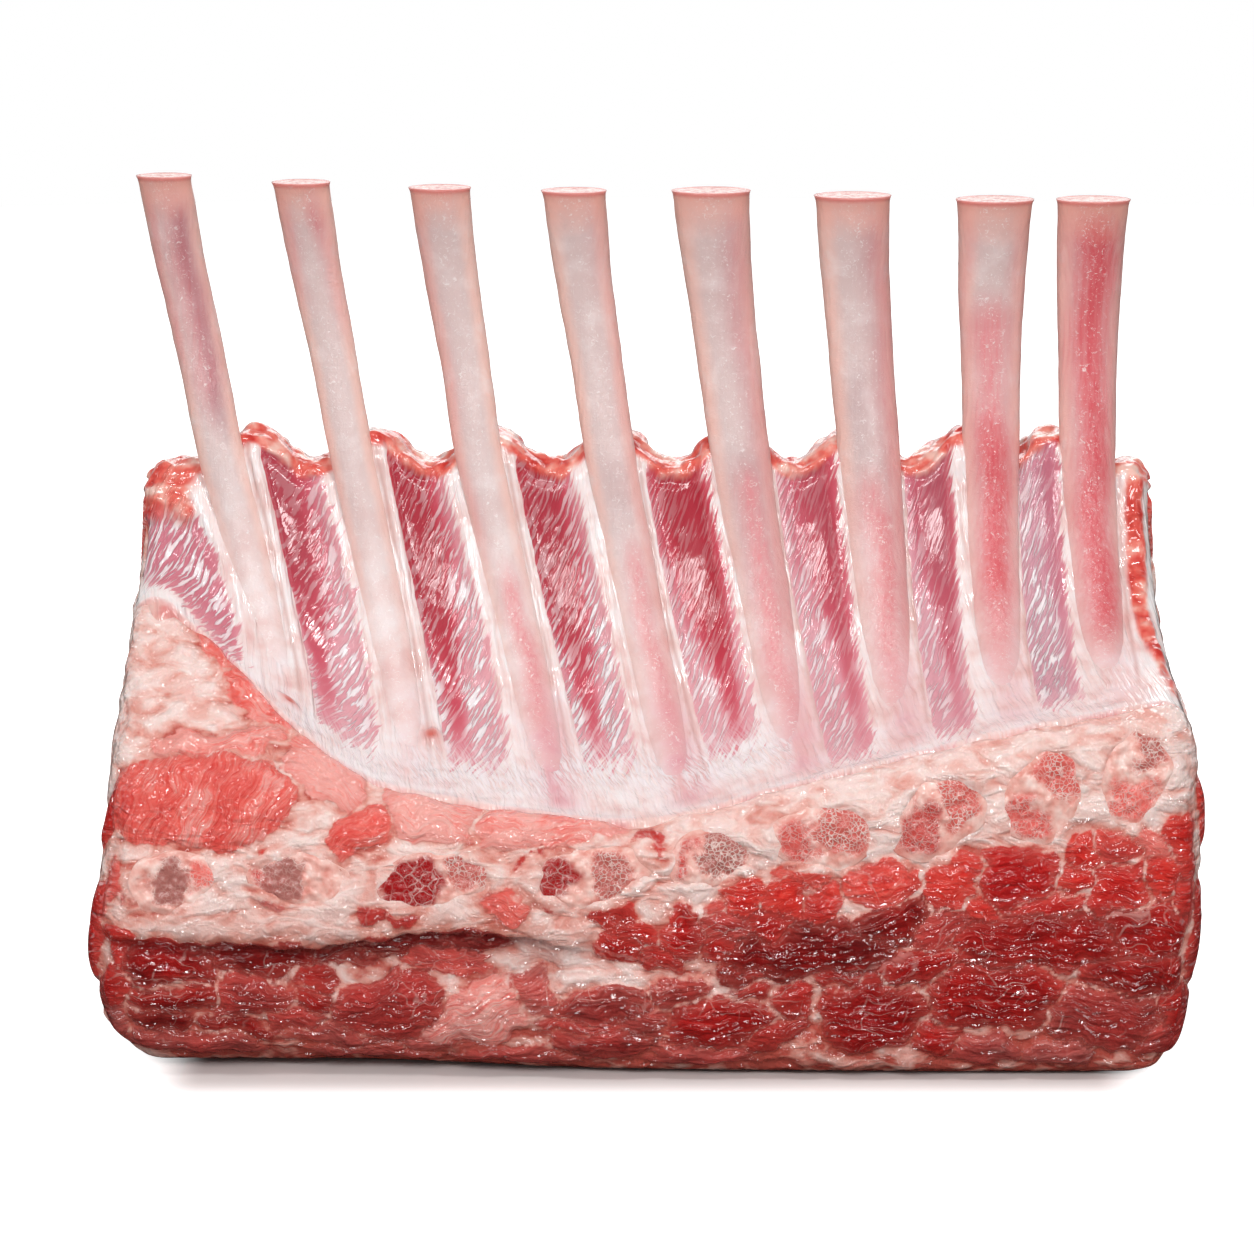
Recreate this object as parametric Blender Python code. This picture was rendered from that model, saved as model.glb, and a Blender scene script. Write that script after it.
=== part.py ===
"""Raw frenched rack of mutton: a loin body with its rib wall, the fat cap over its back,
eight scraped rib bones standing out of the wall, and nine sawn chine bones in the front."""
import math

import bmesh
import bpy
from mathutils import Matrix, Vector, noise

# Metres. X runs along the spine, -Y is the sawn chine side, +Y the back, Z is up.
# The rack stands on the fat of its underside, with its ribs upright.

GAP = 0.0003                 # clearance between neighbouring pieces

# Length of the rack. The ends lean in a little towards the top of the rib wall.
HEIGHT_KNOTS = (0.000, 0.025, 0.060, 0.090, 0.125)
LEFT_REACH = (0.1180, 0.1222, 0.1190, 0.1165, 0.1150)
RIGHT_REACH = (0.1165, 0.1205, 0.1214, 0.1172, 0.1158)
NOMINAL_REACH = 0.1200       # reach at which the stations below are read
END_ROUNDING_LOW = 0.0110    # rounding of the two ends on the loin
END_ROUNDING_WALL = 0.0040   # rounding of the two ends on the thin rib wall
ROUNDING_HEIGHTS = (0.050, 0.090)
END_ANGLES = (90.0, 55.0, 20.0)
STATION_COUNT = 31           # sections between the two rounded ends

# Cross sections of the loin and the rib wall, read along X between these stations.
STATIONS = (-0.123, -0.105, -0.087, -0.065, -0.020, 0.002, 0.040, 0.080, 0.123)
RIM_Y = (0.002, -0.005, -0.021, -0.034, -0.038, -0.038, -0.038, -0.038, -0.035)
RIM_Z = (0.0985, 0.0905, 0.0765, 0.0650, 0.0583, 0.0572, 0.0667, 0.0762, 0.0835)
SHOULDER_Y = (-0.033, -0.037, -0.040, -0.042, -0.0440, -0.0440, -0.0440, -0.0430, -0.0410)
SHOULDER_Z = (0.0660, 0.0650, 0.0610, 0.0550, 0.0500, 0.0490, 0.0570, 0.0655, 0.0745)
BELLY_Y = -0.0468            # the front is fullest here
BELLY_Z = 0.0300
FOLD_STATIONS = (-0.110, -0.085, -0.055, -0.020, 0.010)
FOLD_DEPTH = (0.000, 0.0035, 0.0050, 0.0030, 0.000)
FOLD_Z = 0.0270              # height of the long fold low on the front
FOLD_WIDTH = 0.0045

# The rib wall.
WALL_INNER_Y = 0.0235
WALL_OUTER_Y = 0.0410
WALL_TOP = 0.1320            # beside a rib
SCALLOP_DEPTH = 0.0075       # dip of the trimmed edge between two ribs
WALL_EDGE_ROUNDING = 0.0045

# The back and the underside.
BACK_BULGE_Y = 0.0478
BACK_LOW_Z = 0.0300
FLAT_BACK_Y = 0.0260         # the flat underside starts here and ends, along the stations, at
FLAT_FRONT_Y = (-0.022, -0.022, -0.022, -0.024, -0.032, -0.034, -0.036, -0.037, -0.037)
CORNER_Y = (-0.0425, -0.0430, -0.0430, -0.0430, -0.0455, -0.0460, -0.0462, -0.0462, -0.0460)
CORNER_Z = 0.0110
RELIEF = 0.0010              # unevenness of the flesh
RELIEF_PITCH = 0.024
RELIEF_FLOOR = 0.004         # the relief fades in from this height
RELIEF_FADE = 0.020

# The fat cap, at the wall's edge, on the back, underneath and at the front corner.
CAP_PLACES = (0.00, 0.45, 0.75, 1.00)
CAP_THICKNESS = (0.0025, 0.0055, 0.0050, 0.0036)

# Rib bones, left to right: X of the sawn top, at the wall's edge and at the foot,
# height of the top, width of the top and at the wall's edge, sideways bow on the wall.
RIBS = (
    (-0.1096, -0.0978, -0.0815, 0.1917, 0.0120, 0.0106, 0.0028),
    (-0.0785, -0.0678, -0.0530, 0.1902, 0.0127, 0.0100, 0.0038),
    (-0.0470, -0.0384, -0.0200, 0.1890, 0.0136, 0.0108, 0.0036),
    (-0.0165, -0.0082, 0.0095, 0.1883, 0.0143, 0.0114, 0.0028),
    (0.0147, 0.0218, 0.0345, 0.1883, 0.0174, 0.0136, 0.0024),
    (0.0469, 0.0515, 0.0570, 0.1872, 0.0170, 0.0143, 0.0010),
    (0.0793, 0.0796, 0.0803, 0.1863, 0.0172, 0.0129, 0.0000),
    (0.1017, 0.1018, 0.1035, 0.1863, 0.0163, 0.0128, 0.0006),
)
RIB_TOP_Y = 0.0260
RIB_BOW_Y = 0.0305           # the free bone bows back between wall and top
RIB_SIDE_BOW = 0.11          # share of a rib's lean by which it also bows sideways
RIB_FLATNESS = 0.72          # depth of a rib over its width
RIB_PROUD = 0.0012           # how far a rib stands out of the wall's inner face
RIB_FOOT_DEPTH = 0.0120      # depth of the foot under the chest lining
RIB_FOOT_WIDTH = 0.0100
RIB_SIDES = 12

# Sawn chine bones, left to right: X and Z of the middle, half length, half height,
# tilt in degrees and outline phase.
CHINE = (
    (-0.1035, 0.0455, 0.0098, 0.0068, 5.0, 0.4),
    (-0.0757, 0.0462, 0.0112, 0.0060, -5.0, 2.1),
    (-0.0467, 0.0460, 0.0136, 0.0063, 8.0, 1.2),
    (-0.0135, 0.0468, 0.0142, 0.0062, 10.0, 3.3),
    (0.0141, 0.0510, 0.0096, 0.0062, 12.0, 0.9),
    (0.0387, 0.0558, 0.0114, 0.0074, 10.0, 2.6),
    (0.0634, 0.0600, 0.0110, 0.0084, 40.0, 1.8),
    (0.0862, 0.0645, 0.0112, 0.0086, 48.0, 0.2),
    (0.1062, 0.0690, 0.0106, 0.0080, 78.0, 2.4),
)
CHINE_DEPTH = 0.0140
CHINE_PROUD = 0.0006
CHINE_SIDES = 16
CHINE_CHAMFER = 0.0008
CHINE_REACH = 0.0080         # how far a pocket's cutter stands out of the front

# Base colour (linear) and roughness of each kind of piece.
FLESH = ((0.42, 0.055, 0.05), 0.38)
FAT = ((0.80, 0.55, 0.48), 0.42)
BONE = ((0.72, 0.58, 0.52), 0.45)
CHINE_BONE = ((0.52, 0.20, 0.17), 0.50)


def read(knots, values, at):
    """Value at a place on a smooth curve through the knots."""
    at = min(max(at, knots[0]), knots[-1])
    i = 0
    while i < len(knots) - 2 and at > knots[i + 1]:
        i += 1

    def slope(k):
        low = max(k - 1, 0)
        high = min(k + 1, len(knots) - 1)
        return (values[high] - values[low]) / (knots[high] - knots[low])

    span = knots[i + 1] - knots[i]
    t = (at - knots[i]) / span
    rise = values[i] * (2 * t**3 - 3 * t**2 + 1) + values[i + 1] * (3 * t**2 - 2 * t**3)
    lean = slope(i) * (t**3 - 2 * t**2 + t) + slope(i + 1) * (t**3 - t**2)
    return rise + lean * span


def mix(a, b, t):
    return a + (b - a) * t


def bezier(corners, t):
    """Point on a cubic through four control points."""
    p0, p1, p2, p3 = (Vector(corner) for corner in corners)
    s = 1.0 - t
    return p0 * s**3 + p1 * (3 * s * s * t) + p2 * (3 * s * t * t) + p3 * t**3


def sweep(corners, count):
    return [bezier(corners, i / count) for i in range(count + 1)]


def through(points, count):
    """Points spread over a smooth curve that passes through the given ones."""
    knots = list(range(len(points)))
    ys = [p[0] for p in points]
    zs = [p[1] for p in points]
    places = [i * (len(points) - 1) / count for i in range(count + 1)]
    return [Vector((read(knots, ys, s), read(knots, zs, s))) for s in places]


def wall_top(x):
    """Height of the trimmed edge: high beside each rib, dipped between two."""
    rows = [rib[1] for rib in RIBS]
    nearest = min(abs(x - row) for row in rows)
    half_gap = 0.5 * (rows[-1] - rows[0]) / (len(rows) - 1)
    reach = min(nearest / half_gap, 1.0)
    return WALL_TOP - SCALLOP_DEPTH * (0.5 - 0.5 * math.cos(math.pi * reach))


def lining(x):
    """Control points of the chest lining, from the front rim up the rib wall."""
    rim_y = read(STATIONS, RIM_Y, x)
    rim_z = read(STATIONS, RIM_Z, x)
    top = wall_top(x)
    return (
        (rim_y + 0.0015, rim_z),
        (mix(rim_y, WALL_INNER_Y, 0.45), rim_z + 0.002),
        (WALL_INNER_Y - 0.006, mix(rim_z, top, 0.28)),
        (WALL_INNER_Y, top - WALL_EDGE_ROUNDING),
    )


def front_points(x):
    """Control points of the front, from the underside's corner up to the rim."""
    rim_y = read(STATIONS, RIM_Y, x)
    rim_z = read(STATIONS, RIM_Z, x)
    shoulder = (read(STATIONS, SHOULDER_Y, x), read(STATIONS, SHOULDER_Z, x))
    corner = (read(STATIONS, CORNER_Y, x), CORNER_Z)
    return (corner, (BELLY_Y, BELLY_Z), shoulder, (rim_y - 0.0015, rim_z - 0.0025))


def front_y(x, z):
    """Depth of the front surface at a height."""
    points = front_points(x)
    line = through(points, 24)
    nearest = min(line, key=lambda p: abs(p[1] - z))
    return nearest[0]


def sections(x):
    """The outline at x in four stretches: lining, crest of the wall, capped back, front."""
    top = wall_top(x)
    edge_back = (WALL_OUTER_Y, top - 0.006)
    inner = sweep(lining(x), 11)
    crest = through((
        inner[-1],
        (WALL_INNER_Y + 0.0035, top - 0.0008),
        (mix(WALL_INNER_Y, WALL_OUTER_Y, 0.6), top),
        (WALL_OUTER_Y - 0.003, top - 0.0015),
        edge_back,
    ), 4)
    low_back = (BACK_BULGE_Y - 0.0035, BACK_LOW_Z)
    upper = sweep((edge_back, (WALL_OUTER_Y + 0.005, 0.098), (BACK_BULGE_Y + 0.003, 0.062),
                   low_back), 6)
    rear = sweep((low_back, (BACK_BULGE_Y - 0.008, 0.008), (FLAT_BACK_Y + 0.011, 0.0),
                  (FLAT_BACK_Y, 0.0)), 4)
    flat_front = read(STATIONS, FLAT_FRONT_Y, x)
    flat = [Vector((mix(FLAT_BACK_Y, flat_front, i / 2), 0.0)) for i in range(3)]
    corner_end = front_points(x)[0]
    turn_y = mix(flat_front, corner_end[0], 0.7)
    corner = sweep(((flat_front, 0.0), (turn_y, 0.0),
                    (corner_end[0] + 0.001, 0.005), corner_end), 3)
    capped = upper + rear[1:] + flat[1:] + corner[1:]
    front = through(front_points(x), 10)
    depth = read(FOLD_STATIONS, FOLD_DEPTH, x)
    for point in front:
        point[0] += depth * math.exp(-((point[1] - FOLD_Z) / FOLD_WIDTH) ** 2)
    return inner, crest, capped, front


def inward_normals(points):
    """Unit normals of a closed outline, pointing into the flesh."""
    normals = []
    for i, point in enumerate(points):
        along = points[(i + 1) % len(points)] - points[i - 1]
        normals.append(Vector((along[1], -along[0])).normalized())
    return normals


def relief(x, point):
    """Unevenness of the flesh, fading out towards the flat underside."""
    swell = noise.noise(Vector((x, point[0], point[1])) / RELIEF_PITCH)
    return RELIEF * swell * min(max((point[1] - RELIEF_FLOOR) / RELIEF_FADE, 0.0), 1.0)


def wall_share(z):
    """How far a height is from the loin, at 0, to the thin rib wall, at 1."""
    low, high = ROUNDING_HEIGHTS
    return min(max((z - low) / (high - low), 0.0), 1.0)


def ring(x, inset_low, inset_wall):
    """Outlines of the flesh and of the cap at x, drawn in by the end's rounding."""
    inner, crest, capped, front = sections(x)
    outline = inner[:-1] + crest[:-1] + capped[:-1] + front
    normals = inward_normals(outline)
    first = len(inner) + len(crest) - 2
    last = first + len(capped) - 1
    flesh = []
    skin = []
    lid = []
    for i, point in enumerate(outline):
        normal = normals[i]
        inset = mix(inset_low, inset_wall, wall_share(point[1]))
        if i >= len(inner) - 1:
            inset -= relief(x, point)
        place = point + normal * inset
        if not first <= i <= last:
            flesh.append(place)
            continue
        depth = read(CAP_PLACES, CAP_THICKNESS, (i - first) / (last - first))
        skin.append(place)
        lid.append(place + normal * depth)
        under = place + normal * (depth + GAP)
        tangent = Vector((-normal[1], normal[0]))
        if i == first:
            flesh.append(place - tangent * GAP)
            under -= tangent * GAP
        if i == last:
            under += tangent * GAP
        flesh.append(under)
        if i == last:
            flesh.append(place + tangent * GAP)
    return flesh, skin + lid[::-1]


def end_reach(z, side):
    return read(HEIGHT_KNOTS, LEFT_REACH if side < 0 else RIGHT_REACH, z)


def stations():
    """Places of the sections: share of the reach, side, and angle round the end."""
    places = []
    for angle in END_ANGLES:
        places.append((-1.0, angle))
    for i in range(STATION_COUNT):
        places.append((mix(-1.0, 1.0, i / (STATION_COUNT - 1)), 0.0))
    for angle in reversed(END_ANGLES):
        places.append((1.0, angle))
    return places


def set_in_space(share, angle, outline):
    """Stand an outline up at its place along the rack."""
    side = -1 if share < 0 else 1
    placed = []
    for point in outline:
        rounding = mix(END_ROUNDING_LOW, END_ROUNDING_WALL, wall_share(point[1]))
        body = end_reach(point[1], side) - rounding
        x = share * body + side * rounding * math.sin(math.radians(angle))
        placed.append(Vector((x, point[0], point[1])))
    return placed


def loft(rings, paired_ends=False):
    """A closed mesh between rings of equal count; paired ends are filled as a strip."""
    bm = bmesh.new()
    rows = [[bm.verts.new(point) for point in row] for row in rings]
    count = len(rows[0])
    for low, high in zip(rows, rows[1:]):
        for i in range(count):
            j = (i + 1) % count
            bm.faces.new((low[i], low[j], high[j], high[i]))
    for row in (rows[0][::-1], rows[-1]):
        if paired_ends:
            for i in range(count // 2 - 1):
                bm.faces.new((row[i], row[i + 1], row[count - 2 - i], row[count - 1 - i]))
        else:
            bm.faces.new(row)
    bmesh.ops.recalc_face_normals(bm, faces=bm.faces)
    return bm


def material(name, look):
    made = bpy.data.materials.new(name)
    made.use_nodes = True
    shader = made.node_tree.nodes["Principled BSDF"]
    shader.inputs["Base Color"].default_value = (*look[0], 1.0)
    shader.inputs["Roughness"].default_value = look[1]
    shader.inputs["Metallic"].default_value = 0.0
    return made


def add_object(name, bm, collection, look=None, smooth_angle=40.0):
    mesh = bpy.data.meshes.new(name)
    bm.to_mesh(mesh)
    bm.free()
    mesh.shade_smooth()
    mesh.set_sharp_from_angle(angle=math.radians(smooth_angle))
    made = bpy.data.objects.new(name, mesh)
    collection.objects.link(made)
    if look:
        mesh.materials.append(material(name + "_surface", look))
    else:
        made.hide_render = True
        made.display_type = "WIRE"
    return made


def rib_path(rib):
    """Centre line of a rib from its sawn top down into the flesh, with widths."""
    top_x, edge_x, foot_x, top_z, top_width, edge_width, wall_bow = rib
    half_depth = 0.5 * RIB_FLATNESS * edge_width
    edge_y = WALL_INNER_Y - RIB_PROUD + half_depth
    path = []
    for share in (1.0, 0.94, 0.66, 0.33):
        z = mix(WALL_TOP, top_z, share)
        bow = 4 * share * (1 - share)
        x = mix(edge_x, top_x, share) + bow * RIB_SIDE_BOW * (top_x - edge_x)
        y = mix(edge_y, RIB_TOP_Y, share) + bow * (RIB_BOW_Y - mix(edge_y, RIB_TOP_Y, 0.5))
        flare = share ** 1.3
        path.append((Vector((x, y, z)), mix(edge_width, top_width, flare)))
    for share in (0.0, 0.15, 0.3, 0.45, 0.6, 0.8):
        x = mix(edge_x, foot_x, share) + 4 * share * (1 - share) * wall_bow
        on_lining = bezier(lining(x), 1.0 - share)
        ahead = bezier(lining(x), 1.0 - share - 0.02)
        downhill = (ahead - on_lining).normalized()
        sink = mix(half_depth - RIB_PROUD, RIB_FOOT_DEPTH, share**3)
        behind = on_lining + Vector((-downhill[1], downhill[0])) * sink
        width = mix(edge_width, RIB_FOOT_WIDTH, share)
        path.append((Vector((x, behind[0], behind[1])), width))
    return path


def rib_mesh(rib, grow=0.0):
    """A flattened, tapering bone along its centre line."""
    path = rib_path(rib)
    rings = []
    for i, (centre, width) in enumerate(path):
        before = path[max(i - 1, 0)][0]
        after = path[min(i + 1, len(path) - 1)][0]
        tangent = (after - before).normalized()
        if i == 0:
            tangent = Vector((0.0, 0.0, -1.0))
            centre = centre - tangent * grow
        if i == len(path) - 1:
            centre = centre + tangent * grow
        across = (Vector((1.0, 0.0, 0.0)) - tangent * tangent.x).normalized()
        through_bone = tangent.cross(across)
        half_width = 0.5 * width + grow
        half_depth = 0.5 * width * RIB_FLATNESS + grow
        rings.append([
            centre
            + across * half_width * math.cos(2 * math.pi * k / RIB_SIDES)
            + through_bone * half_depth * math.sin(2 * math.pi * k / RIB_SIDES)
            for k in range(RIB_SIDES)
        ])
    return loft(rings)


def chine_mesh(bone, grow=0.0, reach_out=0.0):
    """A plug of bone let into the front, its sawn face at the surface."""
    x, z, half_length, half_height, tilt, phase = bone
    face_y = front_y(x, z) - CHINE_PROUD
    rows = (
        (face_y - reach_out, -CHINE_CHAMFER),
        (face_y + CHINE_CHAMFER, 0.0),
        (face_y + CHINE_DEPTH, -CHINE_CHAMFER),
    )
    turn = Matrix.Rotation(math.radians(-tilt), 3, "Y")
    rings = []
    for row, (y, inset) in enumerate(rows):
        y += grow if row == len(rows) - 1 else 0.0
        inset = 0.0 if reach_out else inset
        points = []
        for k in range(CHINE_SIDES):
            angle = 2 * math.pi * k / CHINE_SIDES
            lump = 1.0 + 0.04 * math.sin(2 * angle + phase) + 0.03 * math.sin(3 * angle + 2 * phase)
            local = Vector((
                (half_length * lump + grow + inset) * math.cos(angle),
                0.0,
                (half_height * lump + grow + inset) * math.sin(angle),
            ))
            points.append(turn @ local + Vector((x, y, z)))
        rings.append(points)
    return loft(rings)


def cut(target, cutter):
    step = target.modifiers.new("pocket for " + cutter.name, "BOOLEAN")
    step.operation = "DIFFERENCE"
    step.object = cutter


for old in list(bpy.data.objects):
    bpy.data.objects.remove(old)

rack = bpy.data.collections.new("mutton_rack")
pockets = bpy.data.collections.new("cutters")
bpy.context.scene.collection.children.link(rack)
bpy.context.scene.collection.children.link(pockets)

flesh_rings = []
cap_rings = []
for share, angle in stations():
    draw_in = 1.0 - math.cos(math.radians(angle))
    flesh, cap = ring(share * NOMINAL_REACH, END_ROUNDING_LOW * draw_in, END_ROUNDING_WALL * draw_in)
    flesh_rings.append(set_in_space(share, angle, flesh))
    cap_rings.append(set_in_space(share, angle, cap))

meat = add_object("meat", loft(flesh_rings), rack, FLESH)
add_object("fat_cap", loft(cap_rings, paired_ends=True), rack, FAT)

for number, rib in enumerate(RIBS, start=1):
    add_object(f"rib_{number}", rib_mesh(rib), rack, BONE)
    cut(meat, add_object(f"rib_{number}_pocket", rib_mesh(rib, GAP), pockets))

for number, bone in enumerate(CHINE, start=1):
    add_object(f"chine_{number}", chine_mesh(bone), rack, CHINE_BONE)
    cut(meat, add_object(f"chine_{number}_pocket", chine_mesh(bone, GAP, CHINE_REACH), pockets))
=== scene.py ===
"""Raw frenched rack of mutton: a loin standing on its fat with its eight ribs up, seen
from the chest side, where the chine bones are sawn through."""
import functools
import math

import bmesh
import bpy
import numpy as np
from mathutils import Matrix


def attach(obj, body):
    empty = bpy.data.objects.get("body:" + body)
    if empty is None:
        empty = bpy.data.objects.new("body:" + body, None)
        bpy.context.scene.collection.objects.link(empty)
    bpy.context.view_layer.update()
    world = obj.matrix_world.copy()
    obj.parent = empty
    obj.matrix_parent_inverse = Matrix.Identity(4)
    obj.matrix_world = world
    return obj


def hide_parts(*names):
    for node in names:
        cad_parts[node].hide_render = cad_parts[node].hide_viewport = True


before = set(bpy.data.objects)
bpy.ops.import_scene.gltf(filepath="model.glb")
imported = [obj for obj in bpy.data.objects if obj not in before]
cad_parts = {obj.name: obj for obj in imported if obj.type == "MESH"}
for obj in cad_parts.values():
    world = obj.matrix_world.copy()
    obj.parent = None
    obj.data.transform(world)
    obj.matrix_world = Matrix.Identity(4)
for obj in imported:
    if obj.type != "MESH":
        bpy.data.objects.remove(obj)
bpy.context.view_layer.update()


# --- Camera -------------------------------------------------------------------------------
# The photograph was taken with a long lens, 13 degrees above the rack's foot, square on to
# the sawn chine side.
CAMERA_PLACE = (-0.0044, -0.8632, 0.2917)
CAMERA_TILT = 77.0  # degrees from looking straight down
CAMERA_LENS = 112.35  # mm
SENSOR_WIDTH = 36.0  # mm
NEAREST_SEEN = 0.05  # metres


def new_object(name, data):
    """An object at the origin, linked to the scene."""
    made = bpy.data.objects.new(name, data)
    bpy.context.scene.collection.objects.link(made)
    return made


camera_data = bpy.data.cameras.new("camera")
camera_data.lens = CAMERA_LENS
camera_data.sensor_width = SENSOR_WIDTH
camera_data.clip_start = NEAREST_SEEN
camera = new_object("camera", camera_data)
camera.location = CAMERA_PLACE
camera.rotation_euler = (math.radians(CAMERA_TILT), 0.0, 0.0)
bpy.context.scene.camera = camera


# --- Studio -------------------------------------------------------------------------------
# A white sweep in a bright white room. Three small boxes in front and above give the glints,
# two strips and a box behind light the edges, and a painted glow, which only the camera
# sees on the paper outside a box round the rack's foot, leaves the shadow only a thin line.
WORLD_SEEN = 1.0
WORLD_MIRRORED = 0.04  # wet meat mirrors the soft boxes, and little else
SWEEP_MIRRORED = 0.85  # but edges mirror the white sweep behind them
SWEEP_SEEN = (0.45, 0.95)  # how far back a ray points where the sweep comes in
SKY_LIGHT = 0.38  # from straight above
LEVEL_LIGHT = 0.36  # from the level of the floor
FLOOR_RADIUS = 1.6
# the paper as the camera sees it, a little grey, so the shadow in the box is darker: painted shade
FLOOR_WHITE = "EAE2E0"
FLOOR_BOUNCE = "B4B0AE"  # the paper as it lights the meat
FLOOR_MIRRORED = "2E2A2A"  # the paper as wet meat mirrors it
# Outside this box the paper gets a painted glow that only the camera sees; inside it the lamps'
# shadow shows.
SHADED_HALF = (0.098, 0.043, 0.0)  # half length and depth of the paper left in shadow, in metres
GLOW_SHAPE = (1.2, 1.0, 0.0)  # it ends more suddenly beside the rack than before it
GLOW_WITHIN = 0.019  # metres past that over which the paper lights up
GLOW = 0.9
SOFT_BOXES = (
    # name, place, aimed at, width, height, watts
    ("key box, left", (-0.30, -0.84, 0.66), (0.0, -0.03, 0.06), 0.32, 0.32, 3.5),
    ("key box, right", (0.36, -0.84, 0.54), (0.0, -0.03, 0.06), 0.24, 0.24, 2.0),
    ("small box above", (0.02, -0.34, 1.00), (0.0, 0.0, 0.08), 0.20, 0.12, 2.2),
    ("strip at the left", (-1.00, -0.30, 0.45), (0.0, -0.02, 0.09), 0.12, 0.80, 0.8),
    ("strip at the right", (1.00, -0.20, 0.50), (0.0, -0.02, 0.09), 0.12, 0.80, 0.8),
    ("soft box behind", (0.10, 1.10, 0.70), (0.0, 0.03, 0.10), 0.90, 0.60, 3.0),
)


def linear(code):
    """Linear colour of an sRGB hex code."""
    channels = [int(code[i:i + 2], 16) / 255.0 for i in (0, 2, 4)]
    curve = [c / 12.92 if c <= 0.04045 else ((c + 0.055) / 1.055) ** 2.4 for c in channels]
    return (*curve, 1.0)


def add_node(tree, kind, inputs=(), stops=(), **settings):
    """Add a shader node and set its properties. Its inputs come by name, or as a list in the
    order the node shows them, and are values, hex colours, outputs, or nodes, which stand for
    the first output in use. A map range lists value, from low, from high, to low, to high."""
    made = tree.nodes.new("ShaderNode" + kind)
    for name, value in settings.items():
        setattr(made, name, value)
    shown = [socket for socket in made.inputs if socket.enabled]
    for name, value in inputs.items() if isinstance(inputs, dict) else enumerate(inputs):
        socket = made.inputs[name] if isinstance(name, str) else shown[name]
        if isinstance(value, bpy.types.Node):
            value = next(output for output in value.outputs if output.enabled)
        if isinstance(value, bpy.types.NodeSocket):
            tree.links.new(value, socket)
        else:
            socket.default_value = linear(value) if isinstance(value, str) else value
    for _ in stops[2:]:
        made.color_ramp.elements.new(0.5)
    for i, (place, code) in enumerate(stops):
        made.color_ramp.elements[i].position = place
        made.color_ramp.elements[i].color = linear(code)
    return made


def start_material(name, looks=()):
    """A new material, what adds nodes to it, the place on its piece, and the piece's looks."""
    made = bpy.data.materials.new(name)
    made.use_nodes = True
    made.node_tree.nodes.clear()
    add = functools.partial(add_node, made.node_tree)
    look = {each: add("Attribute", attribute_name=each).outputs["Fac"] for each in looks}
    return made, add, add("TexCoord").outputs["Object"], look


def aim(place, target):
    """Turn of a lamp or a soft box at a place that faces the target."""
    across, along, up = (t - p for p, t in zip(place, target))
    level = math.hypot(across, along)
    return (math.atan2(level, -up), 0.0, math.atan2(-across, along))


world = bpy.data.worlds.new("studio")
world.use_nodes = True
world.node_tree.nodes.clear()
add = functools.partial(add_node, world.node_tree)
path = add("LightPath")
way = add("TexCoord")
height = add("SeparateXYZ", [way.outputs["Generated"]])
light = add("MapRange", [height.outputs["Z"], 0.0, 1.0, LEVEL_LIGHT, SKY_LIGHT])
mirrored = add("MapRange", [height.outputs["Y"], *SWEEP_SEEN, WORLD_MIRRORED, SWEEP_MIRRORED])
dimmed = add("Mix", [path.outputs["Is Glossy Ray"], light, mirrored])
seen = add("Mix", [path.outputs["Is Camera Ray"], dimmed, WORLD_SEEN])
sky = add("Background", {"Color": "FFFFFF", "Strength": seen})
add("OutputWorld", {"Surface": sky})
bpy.context.scene.world = world
bpy.context.scene.view_settings.view_transform = "Standard"

for name, place, target, width, height, watts in SOFT_BOXES:
    lamp = bpy.data.lights.new(name, "AREA")
    lamp.shape = "RECTANGLE"
    lamp.size = width
    lamp.size_y = height
    lamp.energy = watts
    box = new_object(name, lamp)
    box.location = place
    box.rotation_euler = aim(place, target)

floor_bm = bmesh.new()
bmesh.ops.create_circle(floor_bm, cap_ends=True, segments=96, radius=FLOOR_RADIUS)
floor_mesh = bpy.data.meshes.new("floor")
floor_bm.to_mesh(floor_mesh)
floor_bm.free()
floor = new_object("floor", floor_mesh)
paper, add, spot, _ = start_material("white seamless paper, matt, with painted glow")
path = add("LightPath")
away = add("VectorMath", [spot], operation="ABSOLUTE")
away = add("VectorMath", [away, SHADED_HALF], operation="SUBTRACT")
away = add("VectorMath", [away, (0.0, 0.0, 0.0)], operation="MAXIMUM")
away = add("VectorMath", [away, GLOW_SHAPE], operation="MULTIPLY")
away = add("VectorMath", [away], operation="LENGTH")
# painted glow: the paper sends light to the camera only, rising outside the shaded box
glow = add("MapRange", [away, 0.0, GLOW_WITHIN, 0.0, GLOW], interpolation_type="SMOOTHSTEP")
glow = add("Math", [glow, path.outputs["Is Camera Ray"]], operation="MULTIPLY")
white = add("Mix", [path.outputs["Is Glossy Ray"], FLOOR_BOUNCE, FLOOR_MIRRORED], data_type="RGBA")
white = add("Mix", [path.outputs["Is Camera Ray"], white, FLOOR_WHITE], data_type="RGBA")
matt = add("BsdfDiffuse", {"Color": white})
painted_glow = add("Emission", {"Strength": glow})
both = add("AddShader", [matt, painted_glow])
add("OutputMaterial", {"Surface": both})
floor_mesh.materials.append(paper)


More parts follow.
